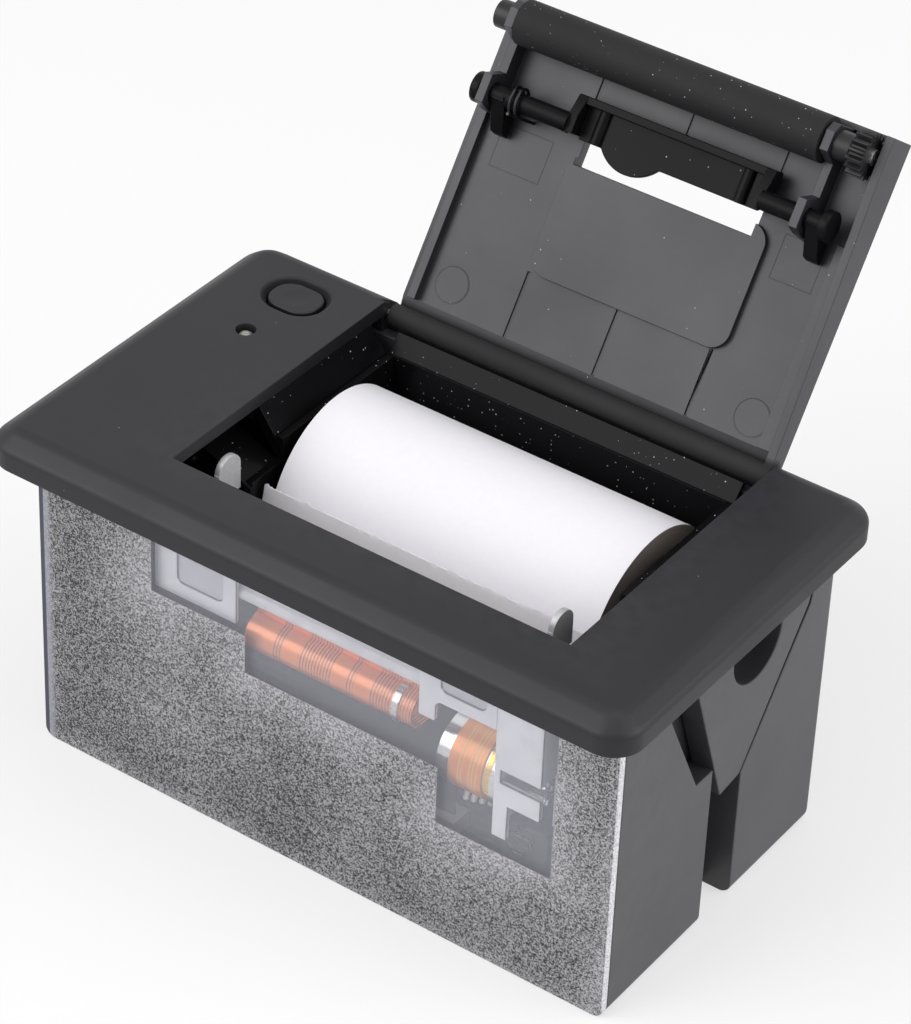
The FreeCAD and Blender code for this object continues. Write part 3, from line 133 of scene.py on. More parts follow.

# Bands of fine tracks across the flex cable and the motor's wrap, in millimetres, and how far behind
# its front the flex cable turns dark with painted shade
FLEX_BANDS = ((-9.6, -7.8), (-5.0, 1.0), (3.6, 4.8), (7.6, 11.4), (12.8, 15.2))
WRAP_BANDS = ((23.2, 24.2), (25.0, 26.8))
FLEX_UNSHADED = 5.0 * MM
FLEX_FADE = 3.0 * MM

# Paper: rings and unevenness in millimetres of the wound ends, thickness of the loose end, and how
# much farther left it reaches
WOUND_RINGS = 9
WOUND_UNEVEN = 0.22
SHEET = 0.1 * MM
LEADER_EXTRA = 1.3 * MM


# Small helpers for modelling

def only(piece):
    """Select one piece and nothing else."""
    bpy.ops.object.select_all(action="DESELECT")
    piece.select_set(True)
    bpy.context.view_layer.objects.active = piece


def start_edit(piece, mode="EDGE"):
    only(piece)
    bpy.ops.object.mode_set(mode="EDIT")
    bpy.ops.mesh.select_mode(type=mode)


def end_edit():
    bpy.ops.object.mode_set(mode="OBJECT")


def named(name):
    """Name the piece that was just added."""
    piece = bpy.context.active_object
    piece.name = name
    piece.data.name = name
    return piece


def settle(piece):
    """Put the piece's place and turn into its mesh."""
    only(piece)
    bpy.ops.object.transform_apply(location=True, rotation=True, scale=True)
    return piece


def swung_open(piece):
    """Turn a piece that was modelled on the shut lid to where the open lid stands."""
    settle(piece)
    away = Matrix.Translation(HINGE) @ Matrix.Rotation(-LID_SWING, 4, Vector(hinge_joint["axis"]))
    piece.matrix_world = away @ Matrix.Translation(-HINGE)
    return settle(piece)


def smooth(piece, angle=35.0):
    """Smooth shading that keeps large faces flat."""
    only(piece)
    bpy.ops.object.shade_smooth_by_angle(angle=math.radians(angle))
    flat = piece.modifiers.new("flat_faces", "WEIGHTED_NORMAL")
    flat.keep_sharp = True
    flat.weight = 80
    bpy.ops.object.modifier_apply(modifier="flat_faces")
    return piece


def choose(piece, kind, test):
    """Select edges or faces whose middle passes a test, from object mode."""
    mesh = piece.data
    items = mesh.edges if kind == "EDGE" else mesh.polygons
    for group in (mesh.vertices, mesh.edges, mesh.polygons):
        for item in group:
            item.select = False
    for item in items:
        corners = [mesh.vertices[index].co for index in item.vertices]
        item.select = test(sum(corners, Vector()) / len(corners), item)


def merged_copy(node, name):
    """Copy of a construction node with its triangles joined into clean faces."""
    piece = bpy.data.objects.new(name, frame["nodes"][node].data.copy())
    bpy.context.scene.collection.objects.link(piece)
    piece.data.name = name
    piece.data.materials.clear()
    start_edit(piece)
    bpy.ops.mesh.customdata_custom_splitnormals_clear()
    bpy.ops.mesh.select_all(action="SELECT")
    bpy.ops.mesh.remove_doubles(threshold=MERGE_GAP)
    bpy.ops.mesh.dissolve_limited(angle_limit=math.radians(0.6))
    end_edit()
    return piece


def bevel_selected(width, segments):
    bpy.ops.mesh.bevel(offset=width, segments=segments, profile=0.5, clamp_overlap=False)


def soften_sharp(piece, width, segments=2, sharpness=32.0, leave=None):
    """Round every sharp edge by a small width, but for those whose middle passes a test."""
    start_edit(piece)
    bpy.ops.mesh.select_all(action="DESELECT")
    bpy.ops.mesh.edges_select_sharp(sharpness=math.radians(sharpness))
    if leave:
        end_edit()
        sharp = {edge.index for edge in piece.data.edges if edge.select}
        choose(piece, "EDGE", lambda middle, edge: edge.index in sharp and not leave(middle))
        start_edit(piece)
    bevel_selected(width, segments)
    bpy.ops.mesh.select_all(action="SELECT")
    bpy.ops.mesh.remove_doubles(threshold=MERGE_GAP)
    end_edit()
    return smooth(piece)


def close_ends():
    """Bridge the two open loops of the piece that is being edited."""
    bpy.ops.mesh.select_all(action="DESELECT")
    bpy.ops.mesh.select_mode(type="EDGE")
    bpy.ops.mesh.select_non_manifold()
    bpy.ops.mesh.bridge_edge_loops()
    face_outwards()


def face_outwards():
    bpy.ops.mesh.select_all(action="SELECT")
    bpy.ops.mesh.normals_make_consistent(inside=False)


def finish_piece(piece, body, slot, material, *replaced):
    """Give a piece its finish and the body that it rides, and hide the construction nodes that it stands for."""
    piece.data.materials.clear()
    piece.data.materials.append(material)
    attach(piece, body)
    if replaced:
        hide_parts(*replaced)
    return piece


# Small helpers for materials

def add_node(tree, kind, inputs=None, **settings):
    """New node, with its inputs linked to sockets or set to values."""
    node = tree.nodes.new(kind)
    for key, value in settings.items():
        setattr(node, key, value)
    for key, value in (inputs or {}).items():
        if isinstance(value, bpy.types.NodeSocket):
            tree.links.new(value, node.inputs[key])
        else:
            node.inputs[key].default_value = value
    return node


def calc(tree, operation, first, second=0.0, third=0.0):
    node = add_node(tree, "ShaderNodeMath", {0: first, 1: second, 2: third}, operation=operation)
    return node.outputs[0]


def clamped(tree, value, low, high, ease="LINEAR"):
    """Value mapped so that low gives 0 and high gives 1, held between them."""
    node = add_node(
        tree, "ShaderNodeMapRange", {0: value, 1: low, 2: high, 3: 0.0, 4: 1.0}, interpolation_type=ease)
    return node.outputs[0]


def ramp(tree, value, start, ends):
    """Mask that goes from 0 to 1 between two distances from a start."""
    return clamped(tree, value, start + ends[0], start + ends[1])


def mixed(tree, factor, first, second):
    node = add_node(tree, "ShaderNodeMix", {0: factor, 6: first, 7: second}, data_type="RGBA")
    return node.outputs[2]


def tone(red, green, blue):
    """Linear colour from screen values of 0 to 255."""
    values = []
    for part in (red, green, blue):
        share = part / 255
        values.append(share / 12.92 if share <= 0.04045 else ((share + 0.055) / 1.055) ** 2.4)
    return (*values, 1.0)


def scaled(colour, factor):
    """The same colour, darker or lighter."""
    return tuple(min(part * factor, 1.0) for part in colour[:3]) + (1.0,)


def new_material(name):
    material = bpy.data.materials.new(name)
    material.use_nodes = True
    tree = material.node_tree
    return material, tree, tree.nodes["Principled BSDF"]


def new_group(name, inputs, outputs):
    """Shader group with number inputs and outputs, and its two end nodes."""
    tree = bpy.data.node_groups.new(name, "ShaderNodeTree")
    for label, value in inputs.items():
        socket = tree.interface.new_socket(label, in_out="INPUT", socket_type="NodeSocketFloat")
        socket.default_value = value
    for label in outputs:
        tree.interface.new_socket(label, in_out="OUTPUT", socket_type="NodeSocketFloat")
    return tree, add_node(tree, "NodeGroupInput"), add_node(tree, "NodeGroupOutput")


def use_group(tree, group, **inputs):
    node = tree.nodes.new("ShaderNodeGroup")
    node.node_tree = group
    for key, value in inputs.items():
        node.inputs[key.replace("_", " ")].default_value = value
    return node


def feed(shader, socket, value):
    """Lead a value that changes over the surface into a socket of the shader."""
    shader.id_data.links.new(value, shader.inputs[socket])


def bumped(shader, height, strength, depth):
    """Bump by a height, with its depth in millimetres."""
    bump = add_node(
        shader.id_data, "ShaderNodeBump", {"Height": height, "Strength": strength, "Distance": depth * MM})
    feed(shader, "Normal", bump.outputs["Normal"])


def object_point(tree):
    return add_node(tree, "ShaderNodeTexCoord").outputs["Object"]


def split(tree, vector):
    """The three parts of a vector."""
    parts = add_node(tree, "ShaderNodeSeparateXYZ", {"Vector": vector})
    return parts.outputs["X"], parts.outputs["Y"], parts.outputs["Z"]


def joined(tree, x, y=0.0, z=0.0):
    """Vector of three parts."""
    return add_node(tree, "ShaderNodeCombineXYZ", {"X": x, "Y": y, "Z": z}).outputs["Vector"]


def length(tree, vector):
    return add_node(tree, "ShaderNodeVectorMath", {0: vector}, operation="LENGTH").outputs["Value"]


def from_axis(tree, axis):
    """Distance from a line along X through a point."""
    moved = add_node(
        tree, "ShaderNodeMapping", {"Vector": object_point(tree), "Location": (0.0, -axis.y, -axis.z)})
    _, back, up = split(tree, moved.outputs["Vector"])
    return length(tree, joined(tree, back, up))


def noise(tree, vector, scale, detail, roughness=0.5):
    node = add_node(
        tree, "ShaderNodeTexNoise",
        {"Vector": vector, "Scale": scale, "Detail": detail, "Roughness": roughness})
    return node.outputs["Fac"]


# Shared effects

def grain_effect():
    """Fine moulded texture as a height, and a slow cloudy tone."""
    tree, start, end = new_group(
        "Moulded grain", {"Scale": 4000.0, "Cloud scale": 45.0}, ("Height", "Cloud"))
    point = object_point(tree)
    fine = noise(tree, point, start.outputs["Scale"], 2.0, 0.6)
    slow = noise(tree, point, start.outputs["Cloud scale"], 4.0, 0.55)
    tree.links.new(fine, end.inputs["Height"])
    tree.links.new(clamped(tree, slow, 0.3, 0.7), end.inputs["Cloud"])
    return tree


def speck_effect():
    """Scattered dust specks of uneven size."""
    tree, start, end = new_group("Dust specks", {"Scale": 1600.0, "Share": 0.1, "Size": 0.13}, ("Mask",))
    cells = add_node(
        tree, "ShaderNodeTexVoronoi", {"Vector": object_point(tree), "Scale": start.outputs["Scale"]})
    parts = add_node(tree, "ShaderNodeSeparateColor", {"Color": cells.outputs["Color"]})
    kept = calc(tree, "LESS_THAN", parts.outputs["Red"], start.outputs["Share"])
    reach = calc(tree, "MULTIPLY", start.outputs["Size"], calc(tree, "ADD", parts.outputs["Green"], 0.35))
    near = calc(tree, "LESS_THAN", cells.outputs["Distance"], reach)
    lit = calc(tree, "MULTIPLY", near, calc(tree, "ADD", parts.outputs["Blue"], 0.25))
    tree.links.new(calc(tree, "MULTIPLY", kept, lit), end.inputs["Mask"])
    return tree


def streak_effect():
    """Fine straight rub marks along X."""
    tree, start, end = new_group("Rub streaks", {"Across": 2500.0, "Along": 40.0}, ("Mask",))
    x, y, z = split(tree, object_point(tree))
    stretched = joined(
        tree,
        calc(tree, "MULTIPLY", x, start.outputs["Along"]),
        calc(tree, "MULTIPLY", y, start.outputs["Across"]),
        calc(tree, "MULTIPLY", z, start.outputs["Across"]))
    lines = noise(tree, stretched, 1.0, 3.0)
    tree.links.new(clamped(tree, lines, 0.35, 0.65), end.inputs["Mask"])
    return tree


def wear_effect():
    """Paler rub along outward edges, broken up by noise."""
    tree, start, end = new_group("Edge wear", {"Low": 0.53, "High": 0.62, "Scale": 400.0}, ("Mask",))
    geometry = add_node(tree, "ShaderNodeNewGeometry")
    edge = clamped(tree, geometry.outputs["Pointiness"], start.outputs["Low"], start.outputs["High"])
    broken = noise(tree, object_point(tree), start.outputs["Scale"], 3.0)
    patch = clamped(tree, broken, 0.35, 0.6)
    tree.links.new(calc(tree, "MULTIPLY", edge, patch), end.inputs["Mask"])
    return tree


def window_effect():
    """Distance on the front's plane from the stepped window, in millimetres, below zero inside it."""
    tree, _, end = new_group("Window distance", {}, ("Distance",))
    x, _, z = split(tree, object_point(tree))
    across = calc(tree, "DIVIDE", x, MM)
    height = calc(tree, "DIVIDE", z, MM)
    nearest = FAR / MM
    for left, right, lowest in WINDOW_STEPS:
        side = calc(tree, "ABSOLUTE", calc(tree, "SUBTRACT", across, (left + right) / 2))
        side = calc(tree, "SUBTRACT", side, (right - left) / 2)
        level = calc(tree, "ABSOLUTE", calc(tree, "SUBTRACT", height, (lowest + WINDOW_TOP) / 2))
        level = calc(tree, "SUBTRACT", level, (WINDOW_TOP - lowest) / 2)
        outside = joined(tree, calc(tree, "MAXIMUM", side, 0.0), calc(tree, "MAXIMUM", level, 0.0))
        inside = calc(tree, "MINIMUM", calc(tree, "MAXIMUM", side, level), 0.0)
        nearest = calc(tree, "MINIMUM", nearest, calc(tree, "ADD", length(tree, outside), inside))
    tree.links.new(nearest, end.inputs["Distance"])
    return tree


GRAIN = grain_effect()
SPECKS = speck_effect()
STREAKS = streak_effect()
WEAR = wear_effect()
WINDOW = window_effect()


# Finishes

def moulded_plastic(
        name, colour, roughness, depth=0.02, scale=4000.0, specks=0.0, wear=0.25, streaks=0.0, shine=0.5):
    """Moulded plastic with fine grain, cloudy tone, rubbed edges and dust."""
    material, tree, shader = new_material(name)
    shader.inputs["Specular IOR Level"].default_value = shine
    grain = use_group(tree, GRAIN, Scale=scale)
    edge = use_group(tree, WEAR).outputs["Mask"]
    dust = use_group(tree, SPECKS, Share=specks).outputs["Mask"]
    base = mixed(tree, grain.outputs["Cloud"], scaled(colour, 0.9), scaled(colour, 1.1))
    if streaks:
        rub = use_group(tree, STREAKS).outputs["Mask"]
        base = mixed(tree, calc(tree, "MULTIPLY", rub, streaks), base, scaled(colour, 1.8))
    base = mixed(tree, calc(tree, "MULTIPLY", edge, wear), base, scaled(colour, 3.0))
    feed(shader, "Base Color", mixed(tree, dust, base, tone(190, 190, 195)))
    uneven = calc(tree, "MULTIPLY_ADD", grain.outputs["Cloud"], 0.12, roughness - 0.06)
    feed(shader, "Roughness", calc(tree, "MULTIPLY_ADD", dust, 0.3, uneven))
    bumped(shader, grain.outputs["Height"], 0.35, depth)
    return material


def with_painted_shade(material, mask, colour):
    """Paint shade into a finished plastic, dark and dull where a mask says."""
    tree = material.node_tree
    shader = tree.nodes["Principled BSDF"]
    base = shader.inputs["Base Color"].links[0].from_socket
    gloss = shader.inputs["Roughness"].links[0].from_socket
    feed(shader, "Base Color", mixed(tree, mask, base, colour))
    feed(shader, "Roughness", calc(tree, "MULTIPLY_ADD", mask, 0.4, gloss))
    return material


def lid_plastic():
    """The lid's plastic, with painted shade, dark and dull, along the hinge."""
    material = moulded_plastic(
        "lid_black", tone(41, 40, 46), 0.42, depth=0.008, scale=2500.0, specks=0.03, streaks=0.12,
        shine=0.45)
    tree = material.node_tree
    return with_painted_shade(material, ramp(tree, from_axis(tree, HINGE), 0.0, HINGE_SHADE_AND_DULL), tone(20, 20, 22))


def bezel_plastic(name):
    return moulded_plastic(name, tone(31, 30, 34), 0.5, specks=0.002, shine=0.34)


def ring_shaded_bezel():
    """The bezel's plastic, with painted shade down in the ring round the button."""
    material = bezel_plastic("ring_shaded_bezel")
    tree = material.node_tree
    centre = (key_low + key_high) / 2
    x, y, z = split(tree, object_point(tree))
    in_width = calc(tree, "COMPARE", x, centre.x, BUTTON_RING[0])
    in_depth = calc(tree, "COMPARE", y, centre.y, BUTTON_RING[1])
    sunk = ramp(tree, z, BEZEL_TOP, RING_SHADE)
    shade = calc(tree, "MULTIPLY", calc(tree, "MULTIPLY", in_width, in_depth), sunk)
    return with_painted_shade(material, shade, tone(8, 8, 9))


def worked_metal(name, colour, roughness, across=2500.0, along=60.0, metallic=1.0):
    """Metal with fine working marks and uneven shine."""
    material, tree, shader = new_material(name)
    shader.inputs["Metallic"].default_value = metallic
    marks = use_group(tree, STREAKS, Across=across, Along=along).outputs["Mask"]
    grain = use_group(tree, GRAIN, Scale=3000.0, Cloud_scale=160.0)
    base = mixed(tree, grain.outputs["Cloud"], scaled(colour, 0.88), scaled(colour, 1.06))
    feed(shader, "Base Color", mixed(tree, calc(tree, "MULTIPLY", marks, 0.25), base, scaled(colour, 0.7)))
    feed(shader, "Roughness", calc(tree, "MULTIPLY_ADD", marks, 0.14, roughness - 0.07))
    bumped(shader, calc(tree, "ADD", marks, grain.outputs["Height"]), 0.4, 0.004)
    return material


def cast_metal():
    """Pale satin die casting with a sandy skin, with painted shade in its sunk panels."""
    material, tree, shader = new_material("cast_alloy")
    shader.inputs["Metallic"].default_value = 0.1
    grain = use_group(tree, GRAIN, Scale=2600.0, Cloud_scale=110.0)
    edge = use_group(tree, WEAR).outputs["Mask"]
    colour = tone(232, 232, 236)
    base = mixed(tree, grain.outputs["Cloud"], scaled(colour, 0.86), colour)
    # Painted shade: the sunk panels darker, their walls darker still
    _, deep, _ = split(tree, object_point(tree))
    sunk = ramp(tree, deep, frame_face, PANEL_EDGE)
    sunk = calc(tree, "MULTIPLY", sunk, ramp(tree, deep, frame_face, PANEL_END))
    wall = calc(tree, "MULTIPLY", sunk, ramp(tree, deep, frame_face, PANEL_FLOOR))
    base = mixed(tree, calc(tree, "MULTIPLY", sunk, 0.5), base, tone(170, 170, 177))
    base = mixed(tree, calc(tree, "MULTIPLY", wall, 0.85), base, tone(84, 84, 92))
    feed(shader, "Base Color", mixed(tree, calc(tree, "MULTIPLY", edge, 0.5), base, tone(250, 250, 252)))
    feed(shader, "Roughness", calc(tree, "MULTIPLY_ADD", grain.outputs["Height"], 0.25, 0.38))
    bumped(shader, grain.outputs["Height"], 0.5, 0.02)
    return material


def frosted_front():
    """Clear plate whose face is frosted round a stepped window."""
    material, tree, shader = new_material("frosted_front")
    distance = use_group(tree, WINDOW).outputs["Distance"]
    point = object_point(tree)
    across, deep, height = split(tree, point)
    grit = noise(tree, point, 3700.0, 1.0, 0.8)
    patches = noise(tree, point, 52.0, 2.0)

    # How bright the frost is: a halo round the window, a pale rim, slow patches and fine grain
    halo = calc(tree, "SUBTRACT", 1.0, clamped(tree, distance, 0.0, HALO_REACH))
    halo = calc(tree, "POWER", halo, 1.5)
    rim = calc(tree, "SUBTRACT", cover_high.x, calc(tree, "ABSOLUTE", across))
    rim = calc(tree, "MINIMUM", rim, calc(tree, "MULTIPLY", height, 1.4))
    rim = calc(tree, "SUBTRACT", 1.0, clamped(tree, rim, 0.0, RIM_REACH))
    level = calc(tree, "MAXIMUM", calc(tree, "MULTIPLY", halo, 0.75), calc(tree, "MULTIPLY", rim, 0.45))
    level = calc(tree, "ADD", level, calc(tree, "MULTIPLY_ADD", patches, 1.3, -0.62))
    grain = clamped(tree, grit, 0.36, 0.64)
    bright = calc(tree, "MULTIPLY_ADD", level, 0.46, calc(tree, "MULTIPLY", grain, 0.84))
    frost = mixed(tree, clamped(tree, bright, 0.12, 1.2), tone(16, 16, 19), tone(190, 189, 194))

    # Strips at the left end, the dark one painted shade of the plate's edge, and the painted highlight of the
    # right edge
    pale = ramp(tree, across, cover_low.x, PALE_STRIP)
    frost = mixed(tree, calc(tree, "MULTIPLY", pale, 0.75), frost, tone(158, 158, 168))
    frost = mixed(tree, ramp(tree, across, cover_low.x, EDGE_SHADE_STRIP), frost, tone(66, 66, 80))
    edge = ramp(tree, across, cover_high.x, EDGE_HIGHLIGHT)
    frost = mixed(tree, edge, frost, mixed(tree, grain, tone(186, 185, 191), tone(236, 236, 240)))

    # Clear in the window and behind the face
    behind = ramp(tree, deep, cover_low.y, FROST_DEPTH)
    clear = calc(tree, "MAXIMUM", clamped(tree, distance, 0.12, -0.12, "SMOOTHSTEP"), behind)
    clear = calc(tree, "MULTIPLY", clear, calc(tree, "SUBTRACT", 1.0, edge))
    feed(shader, "Base Color", mixed(tree, clear, frost, tone(212, 212, 224)))
    feed(shader, "Alpha", calc(tree, "MULTIPLY_ADD", clear, -0.8, 1.0))
    feed(shader, "Roughness", calc(tree, "MULTIPLY_ADD", clear, -0.45, 0.6))
    bumped(shader, grit, 0.12, 0.02)
    return material


def wound_paper():
    """Smooth white paper whose ends show the wound layers, partly in painted shade."""
    material, tree, shader = new_material("wound_paper")
    radius = from_axis(tree, (roll_low + roll_high) / 2)
    rings = noise(tree, joined(tree, radius), 9000.0, 3.0)
    along, _, _ = split(tree, add_node(tree, "ShaderNodeNewGeometry").outputs["Normal"])
    ended = clamped(tree, calc(tree, "ABSOLUTE", along), 0.6, 0.9)
    fibres = noise(tree, object_point(tree), 900.0, 5.0, 0.7)
    sheet = mixed(tree, fibres, tone(238, 236, 241), tone(246, 244, 249))
    # Rings of the wound layers on the ends, their dark tones partly painted shade
    layers = mixed(tree, clamped(tree, rings, 0.3, 0.7), tone(112, 98, 92), tone(206, 197, 190))
    feed(shader, "Base Color", mixed(tree, ended, sheet, layers))
    feed(shader, "Roughness", calc(tree, "MULTIPLY_ADD", fibres, 0.2, 0.55))
    bumped(shader, fibres, 0.1, 0.02)
    return material


def loose_paper():
    """Single sheet of the same paper."""
    material, tree, shader = new_material("loose_paper")
    fibres = noise(tree, object_point(tree), 1100.0, 5.0, 0.7)
    feed(shader, "Base Color", mixed(tree, fibres, tone(232, 230, 234), tone(242, 240, 245)))
    feed(shader, "Roughness", calc(tree, "MULTIPLY_ADD", fibres, 0.2, 0.6))
    return material


def striped_film(name, film, track, bands, pitch, roughness, shade_from=FAR):
    """Copper tracks under clear film, in bands of fine lines along X, with painted shade behind a depth."""
    material, tree, shader = new_material(name)
    shader.inputs["Coat Weight"].default_value = 0.6
    shader.inputs["Coat Roughness"].default_value = 0.15
    x, y, _ = split(tree, object_point(tree))
    across = calc(tree, "DIVIDE", x, MM)
    lined = 0.0
    for left, right in bands:
        inside = calc(tree, "COMPARE", across, (left + right) / 2, (right - left) / 2)
        lined = calc(tree, "MAXIMUM", lined, inside)
    wave = calc(tree, "SINE", calc(tree, "MULTIPLY", across, 2 * math.pi / pitch))
    lines = calc(tree, "MULTIPLY", lined, clamped(tree, wave, 0.0, 0.5))
    cloud = use_group(tree, GRAIN, Scale=900.0, Cloud_scale=120.0).outputs["Cloud"]
    copper = mixed(tree, cloud, scaled(track, 0.85), scaled(track, 1.1))
    copper = mixed(tree, lines, copper, film)
    # Painted shade: dark behind the given depth
    deep = clamped(tree, y, shade_from, shade_from + FLEX_FADE)
    feed(shader, "Base Color", mixed(tree, deep, copper, tone(38, 34, 36)))
    feed(shader, "Roughness", calc(tree, "MULTIPLY_ADD", cloud, 0.15, roughness))
    feed(shader, "Metallic", calc(tree, "MULTIPLY_ADD", lines, -0.35, 0.4))
    return material


def circuit_board():
    """Green solder resist with pale tracks."""
    material, tree, shader = new_material("circuit_board")
    tracks = add_node(
        tree, "ShaderNodeTexBrick",
        {"Vector": object_point(tree), "Scale": 160.0, "Mortar Size": 0.03, "Color1": tone(20, 54, 40),
         "Color2": tone(24, 60, 44), "Mortar": tone(44, 92, 62)})
    feed(shader, "Base Color", tracks.outputs["Color"])
    cloud = use_group(tree, GRAIN).outputs["Cloud"]
    feed(shader, "Roughness", calc(tree, "MULTIPLY_ADD", cloud, 0.2, 0.3))
    return material


def milky_lamp():
    """Unlit lamp of milky resin."""
    material, tree, shader = new_material("milky_lamp")
    shader.inputs["Coat Weight"].default_value = 0.5
    grain = use_group(tree, GRAIN, Scale=1500.0, Cloud_scale=700.0)
    milky = mixed(tree, grain.outputs["Cloud"], tone(120, 120, 112), tone(168, 167, 158))
    feed(shader, "Base Color", milky)
    feed(shader, "Roughness", calc(tree, "MULTIPLY_ADD", grain.outputs["Height"], 0.15, 0.2))
    return material


# One finish for each material slot, then those of single pieces
FINISH = {
    "bezel": bezel_plastic("bezel_black"),
    # The housing is the bezel's black plastic, its colour painted lighter for the light on its sides
    "housing": moulded_plastic("housing_black_painted_lighter", tone(60, 59, 63), 0.42, specks=0.004),
    "black_plastic": lid_plastic(),
    "bin": moulded_plastic(
        "bin_black", tone(15, 15, 17), 0.26, depth=0.004, scale=1500.0, specks=0.25, wear=0.0, shine=0.08),
    "front_cover": frosted_front(),
    "paper": wound_paper(),
    "card": moulded_plastic("roll_card", tone(186, 170, 146), 0.8, depth=0.05, scale=1500.0, wear=0.0),
    "rubber": moulded_plastic(
        "ground_rubber", tone(24, 24, 26), 0.72, depth=0.05, scale=2600.0, specks=0.4, wear=0.0, shine=0.3),
    "steel": worked_metal("bright_steel", tone(205, 205, 205), 0.28),
    "frame": cast_metal(),
    "nickel": worked_metal("plated_steel", tone(226, 226, 226), 0.2, across=1800.0, along=30.0),
    "copper_flex": striped_film(
        "copper_flex", tone(156, 98, 68), tone(246, 144, 68), FLEX_BANDS, pitch=0.52, roughness=0.3,
        shade_from=flex_front + FLEX_UNSHADED),
    "gear_plastic": moulded_plastic(
        "gear_black", tone(28, 28, 30), 0.4, depth=0.004, scale=2500.0, specks=0.06, shine=0.3),
    "idler_plastic": moulded_plastic("idler_white", tone(214, 212, 204), 0.45, depth=0.004, scale=2500.0),
    "ceramic": moulded_plastic("heater_ceramic", tone(224, 220, 208), 0.35, depth=0.004, scale=2500.0),
    "board": circuit_board(),
    "socket": moulded_plastic("socket_white", tone(226, 222, 210), 0.45, depth=0.006, scale=2500.0),
    "lamp": milky_lamp(),
    "magnet": worked_metal("rotor_magnet", tone(92, 92, 96), 0.5, across=900.0, along=90.0),
}
RING_SHADED_BEZEL = ring_shaded_bezel()
LEVER_BLACK = moulded_plastic(
    "lever_black", tone(16, 16, 18), 0.36, depth=0.006, scale=2500.0, specks=0.05, shine=0.08)
AMBER_WRAP = striped_film(
    "amber_wrap", tone(226, 170, 60), tone(230, 140, 46), WRAP_BANDS, pitch=0.6, roughness=0.28)
RING_GOLD = worked_metal("ring_gold", tone(226, 190, 96), 0.3)
LOOSE_PAPER = loose_paper()
SOLDER = worked_metal("pale_solder", tone(238, 238, 236), 0.45, across=900.0, along=300.0, metallic=0.4)
FORK_GREY = worked_metal(
    "brushed_plate", tone(196, 196, 198), 0.5, across=1200.0, along=80.0, metallic=0.45)
LINE_BLACK = moulded_plastic("parting_black", tone(16, 16, 18), 0.5, depth=0.004, scale=2500.0, wear=0.0)
SPRING_DARK = worked_metal("dark_spring", tone(58, 58, 60), 0.35)

slot_of = {row["node"]: row["material_slot"] for row in frame["record"]["subparts"]}
for node_name, node in frame["nodes"].items():
    node.data.materials.clear()
    node.data.materials.append(FINISH[slot_of[node_name]])
frame["nodes"]["motor_flex_wrap"].data.materials[0] = AMBER_WRAP
frame["nodes"]["motor_pins"].data.materials[0] = SOLDER
frame["nodes"]["lever_spring"].data.materials[0] = SPRING_DARK


# Pieces

def softened(node, name, body, width, segments=2, material=None):
    """Piece that follows a construction node closely, with edges rounded by a width in millimetres."""
    piece = soften_sharp(merged_copy(node, name), width * MM, segments)
    slot = slot_of[node]
    return finish_piece(piece, body, slot, material or FINISH[slot], node)


def bezel_shell():
    """Bezel with the soft round-over of its rim and bevel."""
    piece = merged_copy("bezel", "bezel_shell")
    inner_x = bezel_high.x - RIM_SIDES
    inner_front = bezel_low.y + RIM_FRONT
    inner_back = bezel_high.y - RIM_BACK

    def round_loop(level, width):
        """Round the outer edges that lie at one level."""
        def on_loop(middle, edge):
            outer = abs(middle.x) > inner_x or middle.y < inner_front or middle.y > inner_back
            ends = [piece.data.vertices[index].co for index in edge.vertices]
            lies_flat = abs(ends[0].z - ends[1].z) < LEVEL_GAP
            return abs(middle.z - level) < LEVEL_GAP and outer and lies_flat

        choose(piece, "EDGE", on_loop)
        start_edit(piece)
        bevel_selected(width, 4)
        end_edit()

    def at_hinge(middle):
        in_span = HINGE_CUT_SPAN[0] < middle.x < HINGE_CUT_SPAN[1]
        return middle.y > inner_back - HINGE_CUT_DEPTH and in_span

    round_loop(BEZEL_TOP, ROUND_TOP)
    round_loop(BEZEL_TOP - RIM_FALL, ROUND_RIM)
    soften_sharp(piece, ROUND_OTHER, sharpness=34.0, leave=at_hinge)
    return finish_piece(piece, "body", "bezel", RING_SHADED_BEZEL, "bezel")


def wound_roll():
    """Paper roll whose ends are slightly uneven, as wound paper is."""
    radius = (roll_high.z - roll_low.z) / 2
    core_radius = (core_high.z - core_low.z) / 2
    bpy.ops.mesh.primitive_cylinder_add(
        vertices=160, radius=radius, depth=roll_high.x - roll_low.x, location=(roll_low + roll_high) / 2,
        rotation=(0, math.pi / 2, 0))
    piece = settle(named("wound_roll"))
    step = (radius - core_radius) / WOUND_RINGS
    draw = random.Random(11)
    for side in (-1, 1):
        choose(piece, "FACE", lambda middle, face: len(face.vertices) > 8 and face.normal.x * side > FACING)
        start_edit(piece, "FACE")
        for _ in range(WOUND_RINGS):
            bpy.ops.mesh.inset(thickness=step)
            bpy.ops.transform.translate(value=(-side * draw.uniform(0.0, WOUND_UNEVEN) * MM, 0, 0))
        bpy.ops.mesh.delete(type="FACE")
        end_edit()
    start_edit(piece)
    close_ends()
    end_edit()
    smooth(piece, 40.0)
    return finish_piece(piece, "roll", "paper", FINISH["paper"], "paper_roll")


